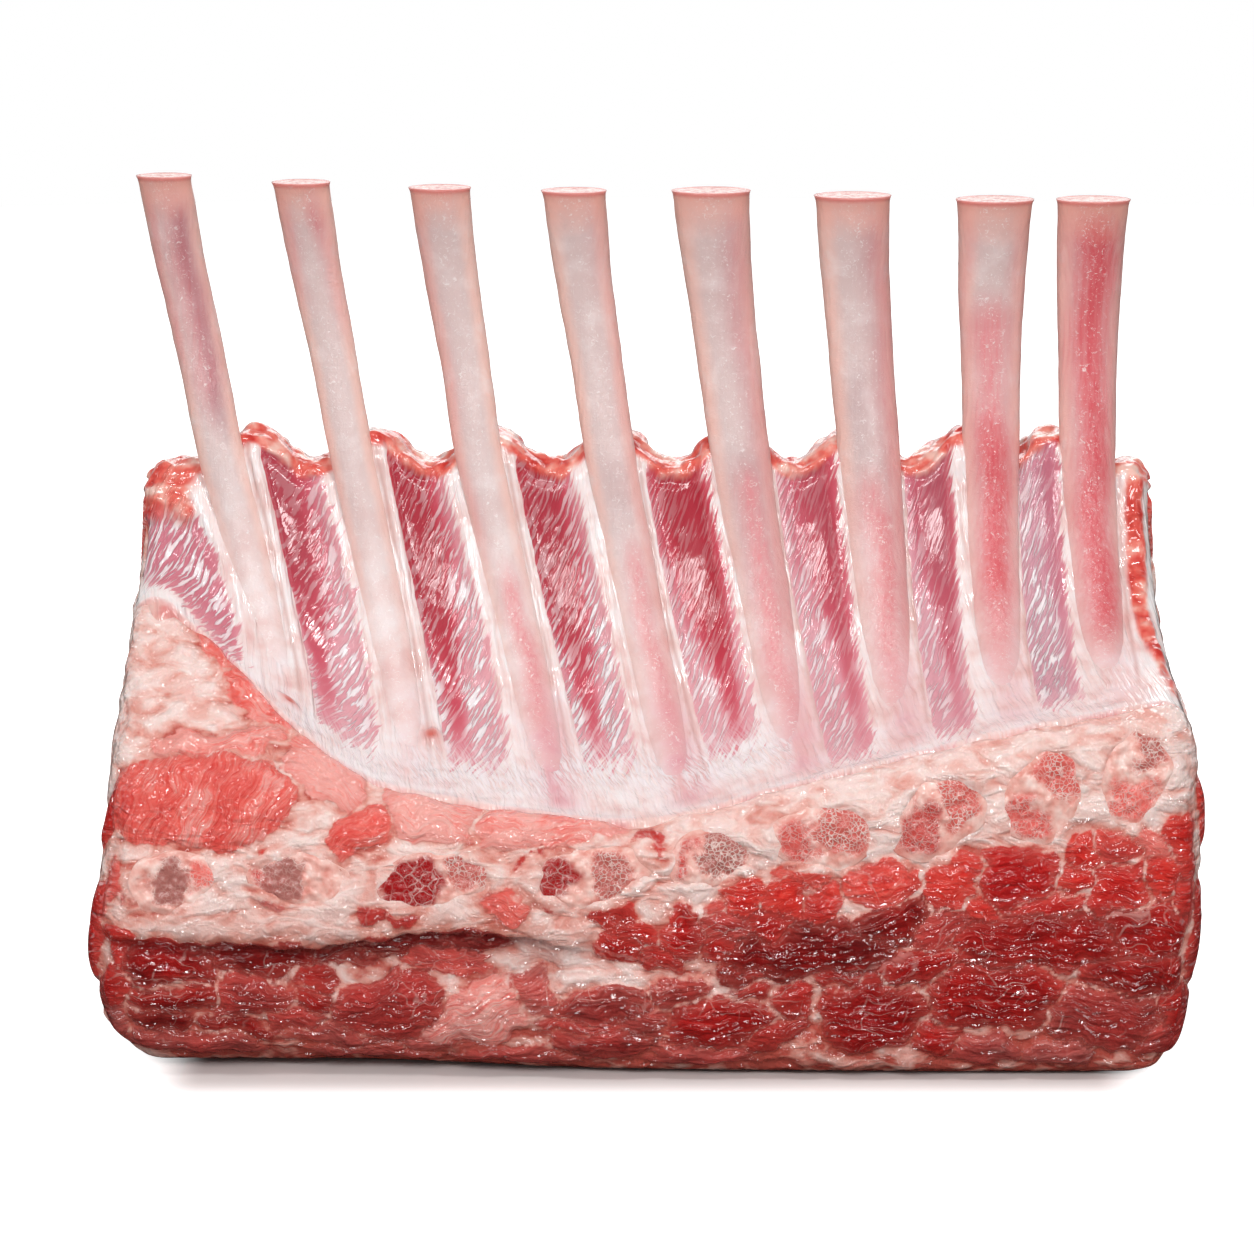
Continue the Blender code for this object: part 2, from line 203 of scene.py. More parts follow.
# --- The form of the meat -----------------------------------------------------------------
# A loin of lean and fat with the thin rib wall standing on its back half. One outline, read
# at any place along the spine, gives the front, the chest lining, the crest and the back.
# All in millimetres: X along the spine, -Y the sawn chine side, Z up.
HEIGHT_KNOTS = (0.0, 25.0, 60.0, 90.0, 125.0)
LEFT_REACH = (118.0, 122.2, 119.0, 116.5, 115.0)
RIGHT_REACH = (116.5, 120.5, 121.4, 117.2, 115.8)
NOMINAL_REACH = 120.0
END_ROUNDING_LOW = 11.0
END_ROUNDING_WALL = 4.0
ROUNDING_HEIGHTS = (50.0, 90.0)
STATIONS = (-123.0, -105.0, -87.0, -65.0, -20.0, 2.0, 40.0, 80.0, 123.0)
RIM_Y = (2.0, -5.0, -21.0, -34.0, -38.0, -38.0, -38.0, -38.0, -35.0)
RIM_Z = (98.5, 90.5, 76.5, 65.0, 58.3, 57.2, 66.7, 76.2, 83.5)
SHOULDER_Y = (-33.0, -37.0, -40.0, -42.0, -44.0, -44.0, -44.0, -43.0, -41.0)
SHOULDER_Z = (66.0, 65.0, 61.0, 55.0, 50.0, 49.0, 57.0, 65.5, 74.5)
BELLY = (-46.8, 30.0)
FOLD_STATIONS = (-110.0, -85.0, -55.0, -20.0, 10.0)
FOLD_DEPTH = (0.0, 3.5, 5.0, 3.0, 0.0)
FOLD_Z = 27.0
FOLD_WIDTH = 4.5
WALL_INNER_Y = 23.5
WALL_OUTER_Y = 41.0
WALL_TOP = 132.0
SCALLOP_DEPTH = 7.5
WALL_EDGE_ROUNDING = 4.5
BACK_BULGE_Y = 47.8
BACK_LOW_Z = 30.0
FLAT_BACK_Y = 26.0
FLAT_FRONT_Y = (-22.0, -22.0, -22.0, -24.0, -32.0, -34.0, -36.0, -37.0, -37.0)
CORNER_Y = (-42.5, -43.0, -43.0, -43.0, -45.5, -46.0, -46.2, -46.2, -46.0)
CORNER_Z = 11.0
RIBS = (
    # x of the sawn top, at the wall's edge and at the foot, height, width at top and edge
    (-109.6, -97.8, -81.5, 191.7, 12, 10.6), (-78.5, -67.8, -53, 190.2, 12.7, 10),
    (-47, -38.4, -20, 189, 13.6, 10.8), (-16.5, -8.2, 9.5, 188.3, 14.3, 11.4),
    (14.7, 21.8, 34.5, 188.3, 17.4, 13.6), (46.9, 51.5, 57, 187.2, 17, 14.3),
    (79.3, 79.6, 80.3, 186.3, 17.2, 12.9), (101.7, 101.8, 103.5, 186.3, 16.3, 12.8),
)
RIM_STEP = (1.5, 2.5)  # the front ends this far outside and below the rim
PART_STEPS = {  # steps of the outline over each of its parts
    "lining": 120, "crest": 32, "back": 60, "rear": 30, "flat": 40, "corner": 30, "front": 90}
END_BLUR = 8.0  # mm over which the outline's directions blend at the two ends
END_STEPS = 1200
END_COLUMNS = 24


def mix(a, b, t):
    """From a at 0 to b at 1."""
    return a + (b - a) * t


def read(knots, values, at):
    """Values, or rows of them, on a smooth curve through the knots, at many places at once."""
    knots = np.asarray(knots, dtype=float)
    values = np.asarray(values, dtype=float)
    at = np.clip(at, knots[0], knots[-1])
    i = np.clip(np.searchsorted(knots, at, side="left") - 1, 0, len(knots) - 2)
    low = np.maximum(np.arange(len(knots)) - 1, 0)
    high = np.minimum(np.arange(len(knots)) + 1, len(knots) - 1)
    rows = (...,) + (None,) * (values.ndim - 1)
    slopes = (values[high] - values[low]) / (knots[high] - knots[low])[rows]
    span = (knots[i + 1] - knots[i])[rows]
    t = (at - knots[i])[rows] / span
    rise = values[i] * (2 * t**3 - 3 * t**2 + 1) + values[i + 1] * (3 * t**2 - 2 * t**3)
    return rise + span * (slopes[i] * (t**3 - 2 * t**2 + t) + slopes[i + 1] * (t**3 - t**2))


def step(low, high, value):
    """Smooth rise from 0 to 1 as a value goes from low to high."""
    t = np.clip((value - low) / (high - low), 0.0, 1.0)
    return t * t * (3.0 - 2.0 * t)


def within(low, high, high_again, low_again, value):
    """Smooth rise from 0 to 1 and fall back to 0, between two pairs of values."""
    return step(low, high, value) * (1.0 - step(high_again, low_again, value))


def bell(value, middle, width):
    """A smooth bump of height 1 round the middle."""
    return np.exp(-((value - middle) / width) ** 2)


def points_at(x, *pairs):
    """Control points of a curve for every section, from pairs of numbers or arrays."""
    rows = [np.stack(np.broadcast_arrays(y + 0.0 * x, z + 0.0 * x), axis=-1) for y, z in pairs]
    return np.stack(rows, axis=1)


def cubic(points, count):
    """Cubic curves through their four control points, one for each section."""
    t = np.linspace(0.0, 1.0, count + 1)[None, :, None]
    s = 1.0 - t
    p = [points[:, i:i + 1] for i in range(4)]
    return p[0] * s**3 + p[1] * 3 * s * s * t + p[2] * 3 * s * t * t + p[3] * t**3


def through(points, count):
    """Smooth curves that pass through their control points, one for each section."""
    last = points.shape[1] - 1
    curve = read(np.arange(last + 1), np.swapaxes(points, 0, 1), np.linspace(0.0, last, count + 1))
    return np.swapaxes(curve, 0, 1)


def wall_top(x):
    """Height of the trimmed edge: high beside each rib, dipped between two."""
    edges = np.array([rib[1] for rib in RIBS])
    nearest = np.min(np.abs(x[:, None] - edges[None, :]), axis=1)
    half_gap = 0.5 * (edges[-1] - edges[0]) / (len(edges) - 1)
    reach = np.minimum(nearest / half_gap, 1.0)
    return WALL_TOP - SCALLOP_DEPTH * (0.5 - 0.5 * np.cos(math.pi * reach))


def outlines(x):
    """Closed outlines (Y, Z) of the meat at places along the spine, and where on them the
    lining, crest, back and front begin."""
    rim_y = read(STATIONS, RIM_Y, x)
    rim_z = read(STATIONS, RIM_Z, x)
    top = wall_top(x)
    inner = cubic(points_at(
        x, (rim_y + RIM_STEP[0], rim_z), (mix(rim_y, WALL_INNER_Y, 0.45), rim_z + 2.0),
        (WALL_INNER_Y - 6.0, mix(rim_z, top, 0.28)),
        (WALL_INNER_Y, top - WALL_EDGE_ROUNDING)), PART_STEPS["lining"])
    crest = through(points_at(
        x, (WALL_INNER_Y, top - WALL_EDGE_ROUNDING), (WALL_INNER_Y + 3.5, top - 0.8),
        (mix(WALL_INNER_Y, WALL_OUTER_Y, 0.6), top), (WALL_OUTER_Y - 3.0, top - 1.5),
        (WALL_OUTER_Y, top - 6.0)), PART_STEPS["crest"])
    upper = cubic(points_at(
        x, (WALL_OUTER_Y, top - 6.0), (WALL_OUTER_Y + 5.0, 98.0), (BACK_BULGE_Y + 3.0, 62.0),
        (BACK_BULGE_Y - 3.5, BACK_LOW_Z)), PART_STEPS["back"])
    rear = cubic(points_at(
        x, (BACK_BULGE_Y - 3.5, BACK_LOW_Z), (BACK_BULGE_Y - 8.0, 8.0),
        (FLAT_BACK_Y + 11.0, 0.0), (FLAT_BACK_Y, 0.0)), PART_STEPS["rear"])
    flat_front = read(STATIONS, FLAT_FRONT_Y, x)
    corner_y = read(STATIONS, CORNER_Y, x)
    flat = through(points_at(x, (FLAT_BACK_Y, 0.0), (flat_front, 0.0)), PART_STEPS["flat"])
    corner = cubic(points_at(
        x, (flat_front, 0.0), (mix(flat_front, corner_y, 0.7), 0.0), (corner_y + 1.0, 5.0),
        (corner_y, CORNER_Z)), PART_STEPS["corner"])
    shoulder = (read(STATIONS, SHOULDER_Y, x), read(STATIONS, SHOULDER_Z, x))
    front = through(points_at(
        x, (corner_y, CORNER_Z), BELLY, shoulder,
        (rim_y - RIM_STEP[0], rim_z - RIM_STEP[1])), PART_STEPS["front"])
    depth = read(FOLD_STATIONS, FOLD_DEPTH, x)[:, None]
    front[:, :, 0] += depth * bell(front[:, :, 1], FOLD_Z, FOLD_WIDTH)
    parts = (inner, crest, upper, rear, flat, corner, front)
    starts = np.cumsum([0] + [part.shape[1] - 1 for part in parts[:-1]])
    places = dict(zip(PART_STEPS, starts))
    loop = np.concatenate([part[:, :-1] for part in parts[:-1]] + [front], axis=1)
    places["rim"] = loop.shape[1] - 1
    return loop, places


def walked(line):
    """Length travelled along a line of points, at each of them."""
    return np.concatenate([[0.0], np.cumsum(np.linalg.norm(np.diff(line, axis=0), axis=1))])


def evenly(travelled, values, count):
    """Values given at lengths travelled, read at evenly spaced lengths."""
    even = np.linspace(0.0, travelled[-1], count)
    return np.stack([np.interp(even, travelled, column) for column in values.T], axis=1)


def inward(loop):
    """Inward unit normals of one closed outline, blurred over some millimetres."""
    closed = np.concatenate([loop, loop[:1]])
    travelled = walked(closed)
    line = evenly(travelled, closed, END_STEPS + 1)[:-1]
    along = np.roll(line, -1, axis=0) - np.roll(line, 1, axis=0)
    normals = np.stack([along[:, 1], -along[:, 0]], axis=1)
    normals /= np.linalg.norm(normals, axis=1, keepdims=True)
    waves = np.fft.fftfreq(END_STEPS, d=travelled[-1] / END_STEPS)
    soften = np.exp(-2.0 * (math.pi * waves * END_BLUR) ** 2)
    smooth = np.fft.ifft(np.fft.fft(normals, axis=0) * soften[:, None], axis=0).real
    smooth /= np.linalg.norm(smooth, axis=1, keepdims=True)
    knots = np.linspace(0.0, travelled[-1], END_STEPS, endpoint=False)
    return np.stack([np.interp(travelled[:-1], knots, smooth[:, k], period=travelled[-1])
                     for k in (0, 1)], axis=1)


def wall_share(z):
    """How far a height is from the loin, at 0, to the thin rib wall, at 1."""
    low, high = ROUNDING_HEIGHTS
    return np.clip((z - low) / (high - low), 0.0, 1.0)


def sections(body_count, end_count=END_COLUMNS):
    """Every column of a sheet: the angle round the end, the outline and where its parts begin,
    and the outline in space, drawn in by the rounding of the two ends."""
    turn = np.linspace(90.0, 0.0, end_count, endpoint=False)
    angle = np.concatenate([turn, np.zeros(body_count), turn[::-1]])
    ends = np.ones(end_count)
    share = np.concatenate([-ends, np.linspace(-1.0, 1.0, body_count), ends])
    loop, at = outlines(share * NOMINAL_REACH)
    way = np.where((share < 0)[:, None, None], inward(loop[0]), inward(loop[-1]))
    rounding = mix(END_ROUNDING_LOW, END_ROUNDING_WALL, wall_share(loop[:, :, 1]))
    turn = np.radians(angle)[:, None]
    flat = loop + way * (rounding * (1.0 - np.cos(turn)))[:, :, None]
    left = read(HEIGHT_KNOTS, LEFT_REACH, flat[:, :, 1])
    right = read(HEIGHT_KNOTS, RIGHT_REACH, flat[:, :, 1])
    side = np.where(share < 0, -1.0, 1.0)[:, None]
    rounding = mix(END_ROUNDING_LOW, END_ROUNDING_WALL, wall_share(flat[:, :, 1]))
    body = np.where(side < 0, left, right) - rounding
    x = share[:, None] * body + side * rounding * np.sin(turn)
    return angle, loop, at, np.concatenate([x[:, :, None], flat], axis=2)


def rows_of(loop, solid, first, last, count):
    """Evenly spaced rows between two places on the outlines: points, and how far on each
    row lies as an outline index."""
    index = np.arange(first, last + 1, dtype=float)[:, None]
    rows = np.stack([
        evenly(walked(flat[first:last + 1]), np.hstack([placed[first:last + 1], index]), count)
        for flat, placed in zip(loop, solid)])
    return rows[..., :3], rows[..., 3]


def normals_of(points):
    """Unit normals of a grid of points, on the side its columns and rows turn to."""
    across = np.gradient(points, axis=0)
    along = np.gradient(points, axis=1)
    normal = np.cross(across, along)
    size = np.linalg.norm(normal, axis=2, keepdims=True)
    return normal / np.maximum(size, 1e-9)


def lumps(places, size, seed=0):
    """Smooth noise, about -1 to 1, in lumps of a size in millimetres."""
    spots = places / size + 31.7 * seed
    cell = np.floor(spots).astype(np.int64)
    part = spots - cell
    fade = part**3 * (part * (part * 6.0 - 15.0) + 10.0)
    total = np.zeros(places.shape[:-1])
    for corner in np.ndindex(2, 2, 2):
        node = (cell + corner).astype(np.uint32)
        code = node[..., 0] * np.uint32(73856093) ^ node[..., 1] * np.uint32(19349663)
        code = code ^ node[..., 2] * np.uint32(83492791) ^ np.uint32(seed * 7919 + 101)
        code = (code ^ (code >> np.uint32(15))) * np.uint32(2246822519)
        code = (code ^ (code >> np.uint32(13))) * np.uint32(3266489917)
        code = code ^ (code >> np.uint32(16))
        slope = [((code >> np.uint32(k * 10)) & np.uint32(1023)) / 511.5 - 1.0 for k in range(3)]
        weight = np.prod(np.where(np.array(corner) == 1, fade, 1.0 - fade), axis=-1)
        total += weight * sum(slope[k] * (part[..., k] - corner[k]) for k in range(3))
    return 1.5 * total


def build_sheet(name, points, looks, hidden_point=None):
    """An object from a bmesh grid moved onto points in millimetres, carrying a named
    attribute for each look, and closed by faces that run to a hidden point inside."""
    count_x, count_y = points.shape[:2]
    bm = bmesh.new()
    bmesh.ops.create_grid(bm, x_segments=count_x - 1, y_segments=count_y - 1, size=1.0)
    mesh = bpy.data.meshes.new(name)
    bm.to_mesh(mesh)
    bm.free()
    flat = np.empty(3 * len(mesh.vertices))
    mesh.vertices.foreach_get("co", flat)
    flat = flat.reshape(-1, 3)
    i = np.rint(0.5 * (flat[:, 0] + 1.0) * (count_x - 1)).astype(int)
    j = np.rint(0.5 * (flat[:, 1] + 1.0) * (count_y - 1)).astype(int)
    mesh.vertices.foreach_set("co", (0.001 * points[i, j]).ravel())
    for look, values in looks.items():
        layer = mesh.attributes.new(look, "FLOAT", "POINT")
        layer.data.foreach_set("value", np.broadcast_to(values, (count_x, count_y))[i, j])
    bm = bmesh.new()
    bm.from_mesh(mesh)
    bmesh.ops.remove_doubles(bm, verts=bm.verts, dist=1e-7)
    if hidden_point is not None:
        rim = [edge for edge in bm.edges if edge.is_boundary]
        grown = bmesh.ops.extrude_edge_only(bm, edges=rim)["geom"]
        verts = [item for item in grown if isinstance(item, bmesh.types.BMVert)]
        bmesh.ops.pointmerge(bm, verts=verts, merge_co=[0.001 * v for v in hidden_point])
    bm.to_mesh(mesh)
    bm.free()
    mesh.shade_smooth()
    return new_object(name, mesh)


# --- Loin: the knife-cut front and the two ends --------------------------------------------
# The butcher's cut runs through bundles of lean, each in its own sleeve of white tissue,
# with fat packed between them. Lean stands a little proud of the seams, because it swells
# when it is cut. A lip of fat hangs over a fold along the left half, with painted shade
# in the fold and on the underside of the lip.
FRONT_ROWS = 126
FRONT_COLUMNS = 392
END_RUNGS = 150
RIM_TUCK = 10  # outline steps by which the front runs on under the lining
CORNER_TUCK = 3  # outline steps by which it starts before the lower corner
SEAM = 0.62  # width of the white tissue between two bundles
SEAM_VARIES = 0.9
SEAM_CLOSES = 0.70  # how much narrower it is in the big dark muscle
DARK_MUSCLE = (24.0, 27.0, 38.0, 42.0)  # heights between which that lies
SWELL_LOW, SWELL_HIGH = 1.5, 0.5  # how far bundles swell into the fat, low down and high up
SWELL_HEIGHTS = (24.0, 40.0)
BLOCKINESS = 2.5  # 2 is an ellipse, more fills its corners

FRONT_LEAN = (
    # x, z, half length, half height, tilt, tone from 0 dark to 1 pale, blood, glaze, and
    # how far the fibres are turned from the tilt where they are
    # upper right: bright cells under the chine bones
    (67.6, 46, 6.6, 6.2, -10, 0.74, 0.5, 0), (79.5, 47.5, 9.2, 6.6, 8, 0.55, 0.9, 0),
    (87.7, 40.4, 7.8, 2.7, 14, 0.68, 0.4, 0), (92.8, 46.6, 4.3, 3.6, 0, 0.70, 0.4, 0),
    (72.3, 40.2, 4.2, 2.6, -20, 0.66, 0.3, 0), (95.3, 51.8, 4.8, 3.4, 10, 0.70, 0.3, 0),
    (102.9, 44.9, 6.6, 6.7, 0, 0.60, 0.3, 0), (102.5, 53, 4.6, 2.9, -15, 0.66, 0.2, 0.1),
    (109.2, 54.3, 5.6, 2.3, -25, 0.82, 0, 0.5), (112.2, 46.8, 3.7, 4.6, 10, 0.62, 0.2, 0),
    (116.8, 55.2, 2.8, 4.8, 5, 0.66, 0.2, 0), (118.6, 48.2, 2, 3, 0, 0.62, 0.2, 0),
    (117.6, 42.4, 2.4, 4, 0, 0.58, 0.2, 0), (51.8, 46.2, 9.6, 4.3, 6, 0.80, 0.2, 0.1),
    (37.4, 41, 3.8, 4, 0, 0.62, 0.2, 0), (31, 43, 5.4, 6, 20, 0.70, 0.2, 0),
    (33.5, 48.2, 7, 2.4, 5, 0.84, 0.2, 0.1), (27, 35.5, 4.6, 4.6, 15, 0.50, 0.2, 0),
    (20.2, 42.2, 4.6, 4.4, 0, 0.76, 0.2, 0), (17, 36.2, 5.4, 3.2, -20, 0.50, 0.1, 0.1),
    (15.4, 40.4, 3.2, 1.8, 0, 0.64, 0, 0.2), (16.4, 31.2, 5.4, 2.4, 10, 0.42, 0.2, 0),
    (7.9, 34.2, 4.2, 5.2, -10, 0.50, 0.2, 0), (3.2, 28.8, 3.2, 2.2, 0, 0.44, 0.2, 0),
    (-7.4, 38.8, 5, 2.5, -12, 0.58, 0.1, 0), (-3.2, 35.6, 5.4, 2.4, -12, 0.56, 0.1, 0),
    (-6.4, 32.2, 4.8, 2.5, -8, 0.52, 0.1, 0),
    # middle and right: the big dark muscle
    (35, 30.8, 19, 5.2, 3, 0.20, 0.1, 0), (21.5, 25.9, 5, 1.5, -8, 0.22, 0.1, 0),
    (52.5, 36.4, 9.5, 4.4, 25, 0.26, 0.1, 0), (64.5, 35.6, 6.6, 4.2, 20, 0.40, 0.3, 0.1),
    (61, 27.6, 10.5, 3.6, 22, 0.42, 0.4, 0), (85, 32.3, 19.5, 6.9, 0, 0.34, 0.2, 0),
    (109.4, 34.8, 9.8, 6.6, -10, 0.42, 0.1, 0), (106, 26.2, 13, 3.9, -6, 0.38, 0.1, 0),
    # lower right row
    (49.7, 16.4, 10.4, 8.2, 4, 0.34, 0.4, 0), (76.3, 20.9, 14.6, 7.1, -4, 0.36, 0.3, 0),
    (62.7, 11, 4.8, 2.8, -12, 0.44, 0.2, 0), (100.2, 15, 12.8, 5.6, -12, 0.36, 0.1, 0.1),
    (116.6, 18.4, 3.4, 4.8, 0, 0.52, 0.2, 0), (112.6, 9.8, 4, 2.8, 20, 0.46, 0.1, 0.1),
    (74.6, 7.2, 6.6, 2.1, -4, 0.40, 0.1, 0.2), (90.4, 6.6, 6.2, 1.9, 0, 0.40, 0.1, 0.3),
    (42.4, 24.2, 5, 2, -20, 0.36, 0.2, 0), (30.8, 19, 3.8, 3.2, 0, 0.48, 0.2, 0),
    (23.4, 20.6, 4.6, 2.4, 20, 0.46, 0.2, 0), (17, 14.6, 14.2, 5.4, 6, 0.38, 0.2, 0),
    (27.6, 12.8, 6, 3.6, 25, 0.42, 0.3, 0), (7.6, 20.6, 5, 2.2, 8, 0.40, 0, 0.1),
    (-9.4, 16.4, 10.2, 3.2, 4, 0.38, 0, 0.1), (0.8, 14, 5.4, 3.2, -8, 0.40, 0, 0.1),
    (-10.4, 9.2, 10.5, 2.4, 2, 0.38, 0, 0.1), (-14, 12.8, 8, 1.5, 3, 0.44, 0, 0.1),
    (11.5, 5.6, 8, 0.9, 0, 0.45, 0, 0.2),
    # middle left: under and over the lip
    (-22, 47.3, 7.2, 6.6, -20, 0.40, 1, 0), (2, 51.6, 5.4, 3.4, -28, 0.62, 1, 0),
    (-26.4, 19.8, 4.8, 4.4, 25, 0.44, 0, 0.3), (-37, 14.6, 12.5, 5.4, 24, 0.84, 0, 1.1),
    (-44.2, 27.8, 8.8, 2.2, -6, 0.60, 0.1, 0.2), (-56, 31.2, 14, 2.1, 6, 0.10, 0.4, 0),
    (-38, 33, 7, 1.8, 0, 0.06, 0.5, 0), (-56.5, 17, 11.4, 5.8, 8, 0.45, 0.15, 0.1),
    (-54.1, 43.9, 6.8, 5.6, -10, 0.42, 0.9, 0), (-59.6, 39.6, 3, 1.8, 30, 0.34, 1, 0),
    (-46.2, 60.2, 11.5, 6, -13, 1.00, 0.1, 0.9), (-22, 56.6, 17, 4.2, 1, 1.00, 0.1, 0.8),
    (-70.6, 66.6, 9, 4.6, -30, 1.00, 0.2, 0.7), (-62.5, 56.2, 7.4, 3, 32, 0.88, 0.2, 0.2),
    (-31.4, 40.6, 4.8, 2.2, -20, 0.82, 0.1, 0.3),
    # round the two rounded corners
    (121.5, 30, 3, 8.5, 0, 0.52, 0.1, 0.2), (120.5, 12.5, 3, 5.5, -10, 0.50, 0.1, 0.3),
    (-120, 12, 4, 5.5, 20, 0.50, 0.1, 0.3), (-119.5, 44, 3, 6, 0, 0.66, 0.2, 0.3),
    # left: the shoulder end
    (-98.5, 61.8, 20, 9.4, 2, 0.87, 0.35, 0.22, 62), (-94, 72.4, 14, 2, 4, 0.95, 0, 0.7),
    (-98.5, 92, 9, 1.7, -53, 0.92, 0.2, 0.3), (-86.5, 79.6, 9.4, 2.2, -32, 0.92, 0.2, 0.2),
    (-109.7, 43.4, 5, 4.2, -15, 0.48, 0.1, 0.2), (-80.1, 48.6, 4.8, 2.8, -25, 0.56, 0.3, 0.1),
    (-81.3, 43.2, 4.2, 2.6, 0, 0.52, 0, 0.6), (-105.5, 28.2, 12.4, 4.4, -4, 0.30, 0.2, 0),
    (-116.4, 30.8, 4.2, 4.4, 0, 0.60, 0.5, 0), (-85, 28.6, 13, 3.5, -3, 0.26, 0.1, 0),
    (-68.6, 28.8, 7.6, 2.4, 4, 0.14, 0.2, 0), (-103, 19.4, 9.6, 3.2, 4, 0.36, 0, 0),
    (-86.4, 18.8, 8.2, 5.4, -10, 0.44, 0, 0.1), (-73.2, 23.8, 3.8, 2.4, -10, 0.42, 0.1, 0),
    (-73.4, 18.8, 4, 2.6, -20, 0.42, 0.1, 0), (-78.6, 13, 6.6, 2, -14, 0.44, 0, 0.1),
    (-105.4, 13.8, 7.6, 2, -4, 0.28, 0.1, 0), (-91, 12, 8, 1.8, -6, 0.36, 0.1, 0),
    (-119, 23.2, 3.4, 6.2, 0, 0.56, 0.3, 0), (-101, 8.2, 13, 1.8, -3, 0.46, 0, 0.2),
    (-70, 9.6, 9, 1.5, -8, 0.42, 0, 0.2), (-60, 5.6, 10, 1.2, -3, 0.44, 0, 0.2),
    (-45, 8, 6, 1.2, 2, 0.48, 0, 0.3), (-30, 5, 9, 1, 1, 0.46, 0, 0.2),
)
END_LEAN = (
    # y, z and the rest as above: the eye of the loin, the muscles round it and the wall
    (4, 40, 22, 17.5, -8, 0.52, 0.2, 0), (-25, 46, 6, 9, 10, 0.60, 0.2, 0),
    (-24, 27.5, 9, 7.5, 20, 0.48, 0.2, 0), (-14, 13.5, 15, 4.2, 4, 0.46, 0.1, 0),
    (16, 14, 14, 4.6, -6, 0.50, 0.1, 0), (33, 30, 5.5, 12, -4, 0.55, 0.1, 0),
    (33, 56, 4.6, 13, 3, 0.60, 0.1, 0), (14, 62.5, 11, 4.4, 25, 0.66, 0.2, 0),
    (-8, 60.5, 9, 3.2, 8, 0.70, 0.2, 0), (-34, 58, 3.6, 8, 10, 0.66, 0.2, 0),
    (-37.5, 33, 3, 10, 0, 0.56, 0.2, 0), (-43, 13, 5.5, 8.5, 0, 0.48, 0.1, 0.1),
    (-44, 50, 3, 12, 0, 0.62, 0.2, 0.2), (27.6, 96, 2.4, 24, 1, 0.76, 0.2, 0.3),
    (34.6, 98, 1.6, 22, 0, 0.70, 0, 0.8), (26, 76, 3.6, 8, -20, 0.68, 0.2, 0),
)
FOLD_LIP = (
    (-123, -100, -84, -70, -56, -41, -26, -12), (33.6, 32.0, 31.2, 31.0, 33.2, 34.6, 33.0, 30.0))
FOLD_LIP_FADE = (-30.0, -8.0)


def turned(across, up, degrees):
    """Both coordinates, in a frame that is turned by an angle."""
    cosine, sine = math.cos(math.radians(degrees)), math.sin(math.radians(degrees))
    return across * cosine + up * sine, up * cosine - across * sine


def lean_field(rows, across, up, seam=SEAM):
    """Depth in the seams between bundles, in millimetres, with the looks of the nearest
    bundle. The depth is below 0 in lean and above 0 in fat."""
    nearest = np.full(across.shape, 1e6)
    second = np.full(across.shape, 1e6)
    looks = np.zeros(across.shape + (3,))
    fibre = np.zeros(across.shape + (2,))
    for x, z, half_length, half_height, tilt, tone, blood, glaze, *fibres_turned in rows:
        along, over = turned(across - x, up - z, tilt)
        size = (np.abs(along / half_length) ** BLOCKINESS
                + np.abs(over / half_height) ** BLOCKINESS) ** (1.0 / BLOCKINESS)
        slope = np.hypot(along / half_length**2, over / half_height**2) / np.maximum(size, 0.02)
        away = (size - 1.0) / np.maximum(slope, 0.5 / max(half_length, half_height))
        closer = away < nearest
        second = np.where(closer, nearest, np.minimum(second, away))
        nearest = np.where(closer, away, nearest)
        looks[closer] = (tone, blood, glaze)
        fibre[closer] = np.stack(turned(along, over, sum(fibres_turned)), axis=-1)[closer]
    swell = mix(SWELL_LOW, SWELL_HIGH, step(*SWELL_HEIGHTS, up))
    width = seam + SEAM_VARIES * lumps(np.stack([across, up, 0.0 * up], axis=-1), 11.0, 15)
    width -= SEAM_CLOSES * within(*DARK_MUSCLE, up)
    return np.maximum(nearest - swell, 0.5 * (width - (second - nearest))), looks, fibre


CHINE = (
    # x and z of the middle, half length, half height, tilt, outline phase
    (-103.5, 45.5, 9.8, 6.8, 5, 0.4), (-75.7, 46.2, 11.2, 6, -5, 2.1),
    (-46.7, 46, 13.6, 6.3, 8, 1.2), (-13.5, 46.8, 14.2, 6.2, 10, 3.3),
    (14.1, 51, 9.6, 6.2, 12, 0.9), (38.7, 55.8, 11.4, 7.4, 10, 2.6), (63.4, 60, 11, 8.4, 40, 1.8),
    (86.2, 64.5, 11.2, 8.6, 48, 0.2), (106.2, 69, 10.6, 8, 78, 2.4),
)


def chine_lump(around, phase):
    """How far an uneven outline is from an ellipse, at angles round it."""
    return (1.0 + 0.05 * np.sin(2 * around + phase) + 0.045 * np.sin(3 * around + 2 * phase)
            + 0.03 * np.sin(5 * around + 3 * phase) + 0.02 * np.sin(8 * around + 5 * phase))


def chine_edge(bone, across, up):
    """Distance outside a chine bone's outline, below 0 on the bone."""
    x, z, half_length, half_height, tilt, phase = bone
    along, over = turned(across - x, up - z, tilt)
    round_it = np.arctan2(over / half_height, along / half_length)
    size = np.hypot(along / half_length, over / half_height) / chine_lump(round_it, phase)
    return (size - 1.0) * half_height


def smooth_rows(points, times):
    """Soften the corners along the rows of a grid, and keep its borders."""
    for _ in range(times):
        inner = 0.25 * points[:, :-2] + 0.5 * points[:, 1:-1] + 0.25 * points[:, 2:]
        points = np.concatenate([points[:, :1], inner, points[:, -1:]], axis=1)
    return points


def blur(values, times):
    """Soften values on a grid in both directions."""
    for _ in range(times):
        for axis in (0, 1):
            edge = np.concatenate([values.take([0], axis), values, values.take([-1], axis)], axis)
            count = values.shape[axis]
            low, middle, high = (edge.take(np.arange(k, k + count), axis) for k in range(3))
            values = 0.25 * low + 0.5 * middle + 0.25 * high
    return values


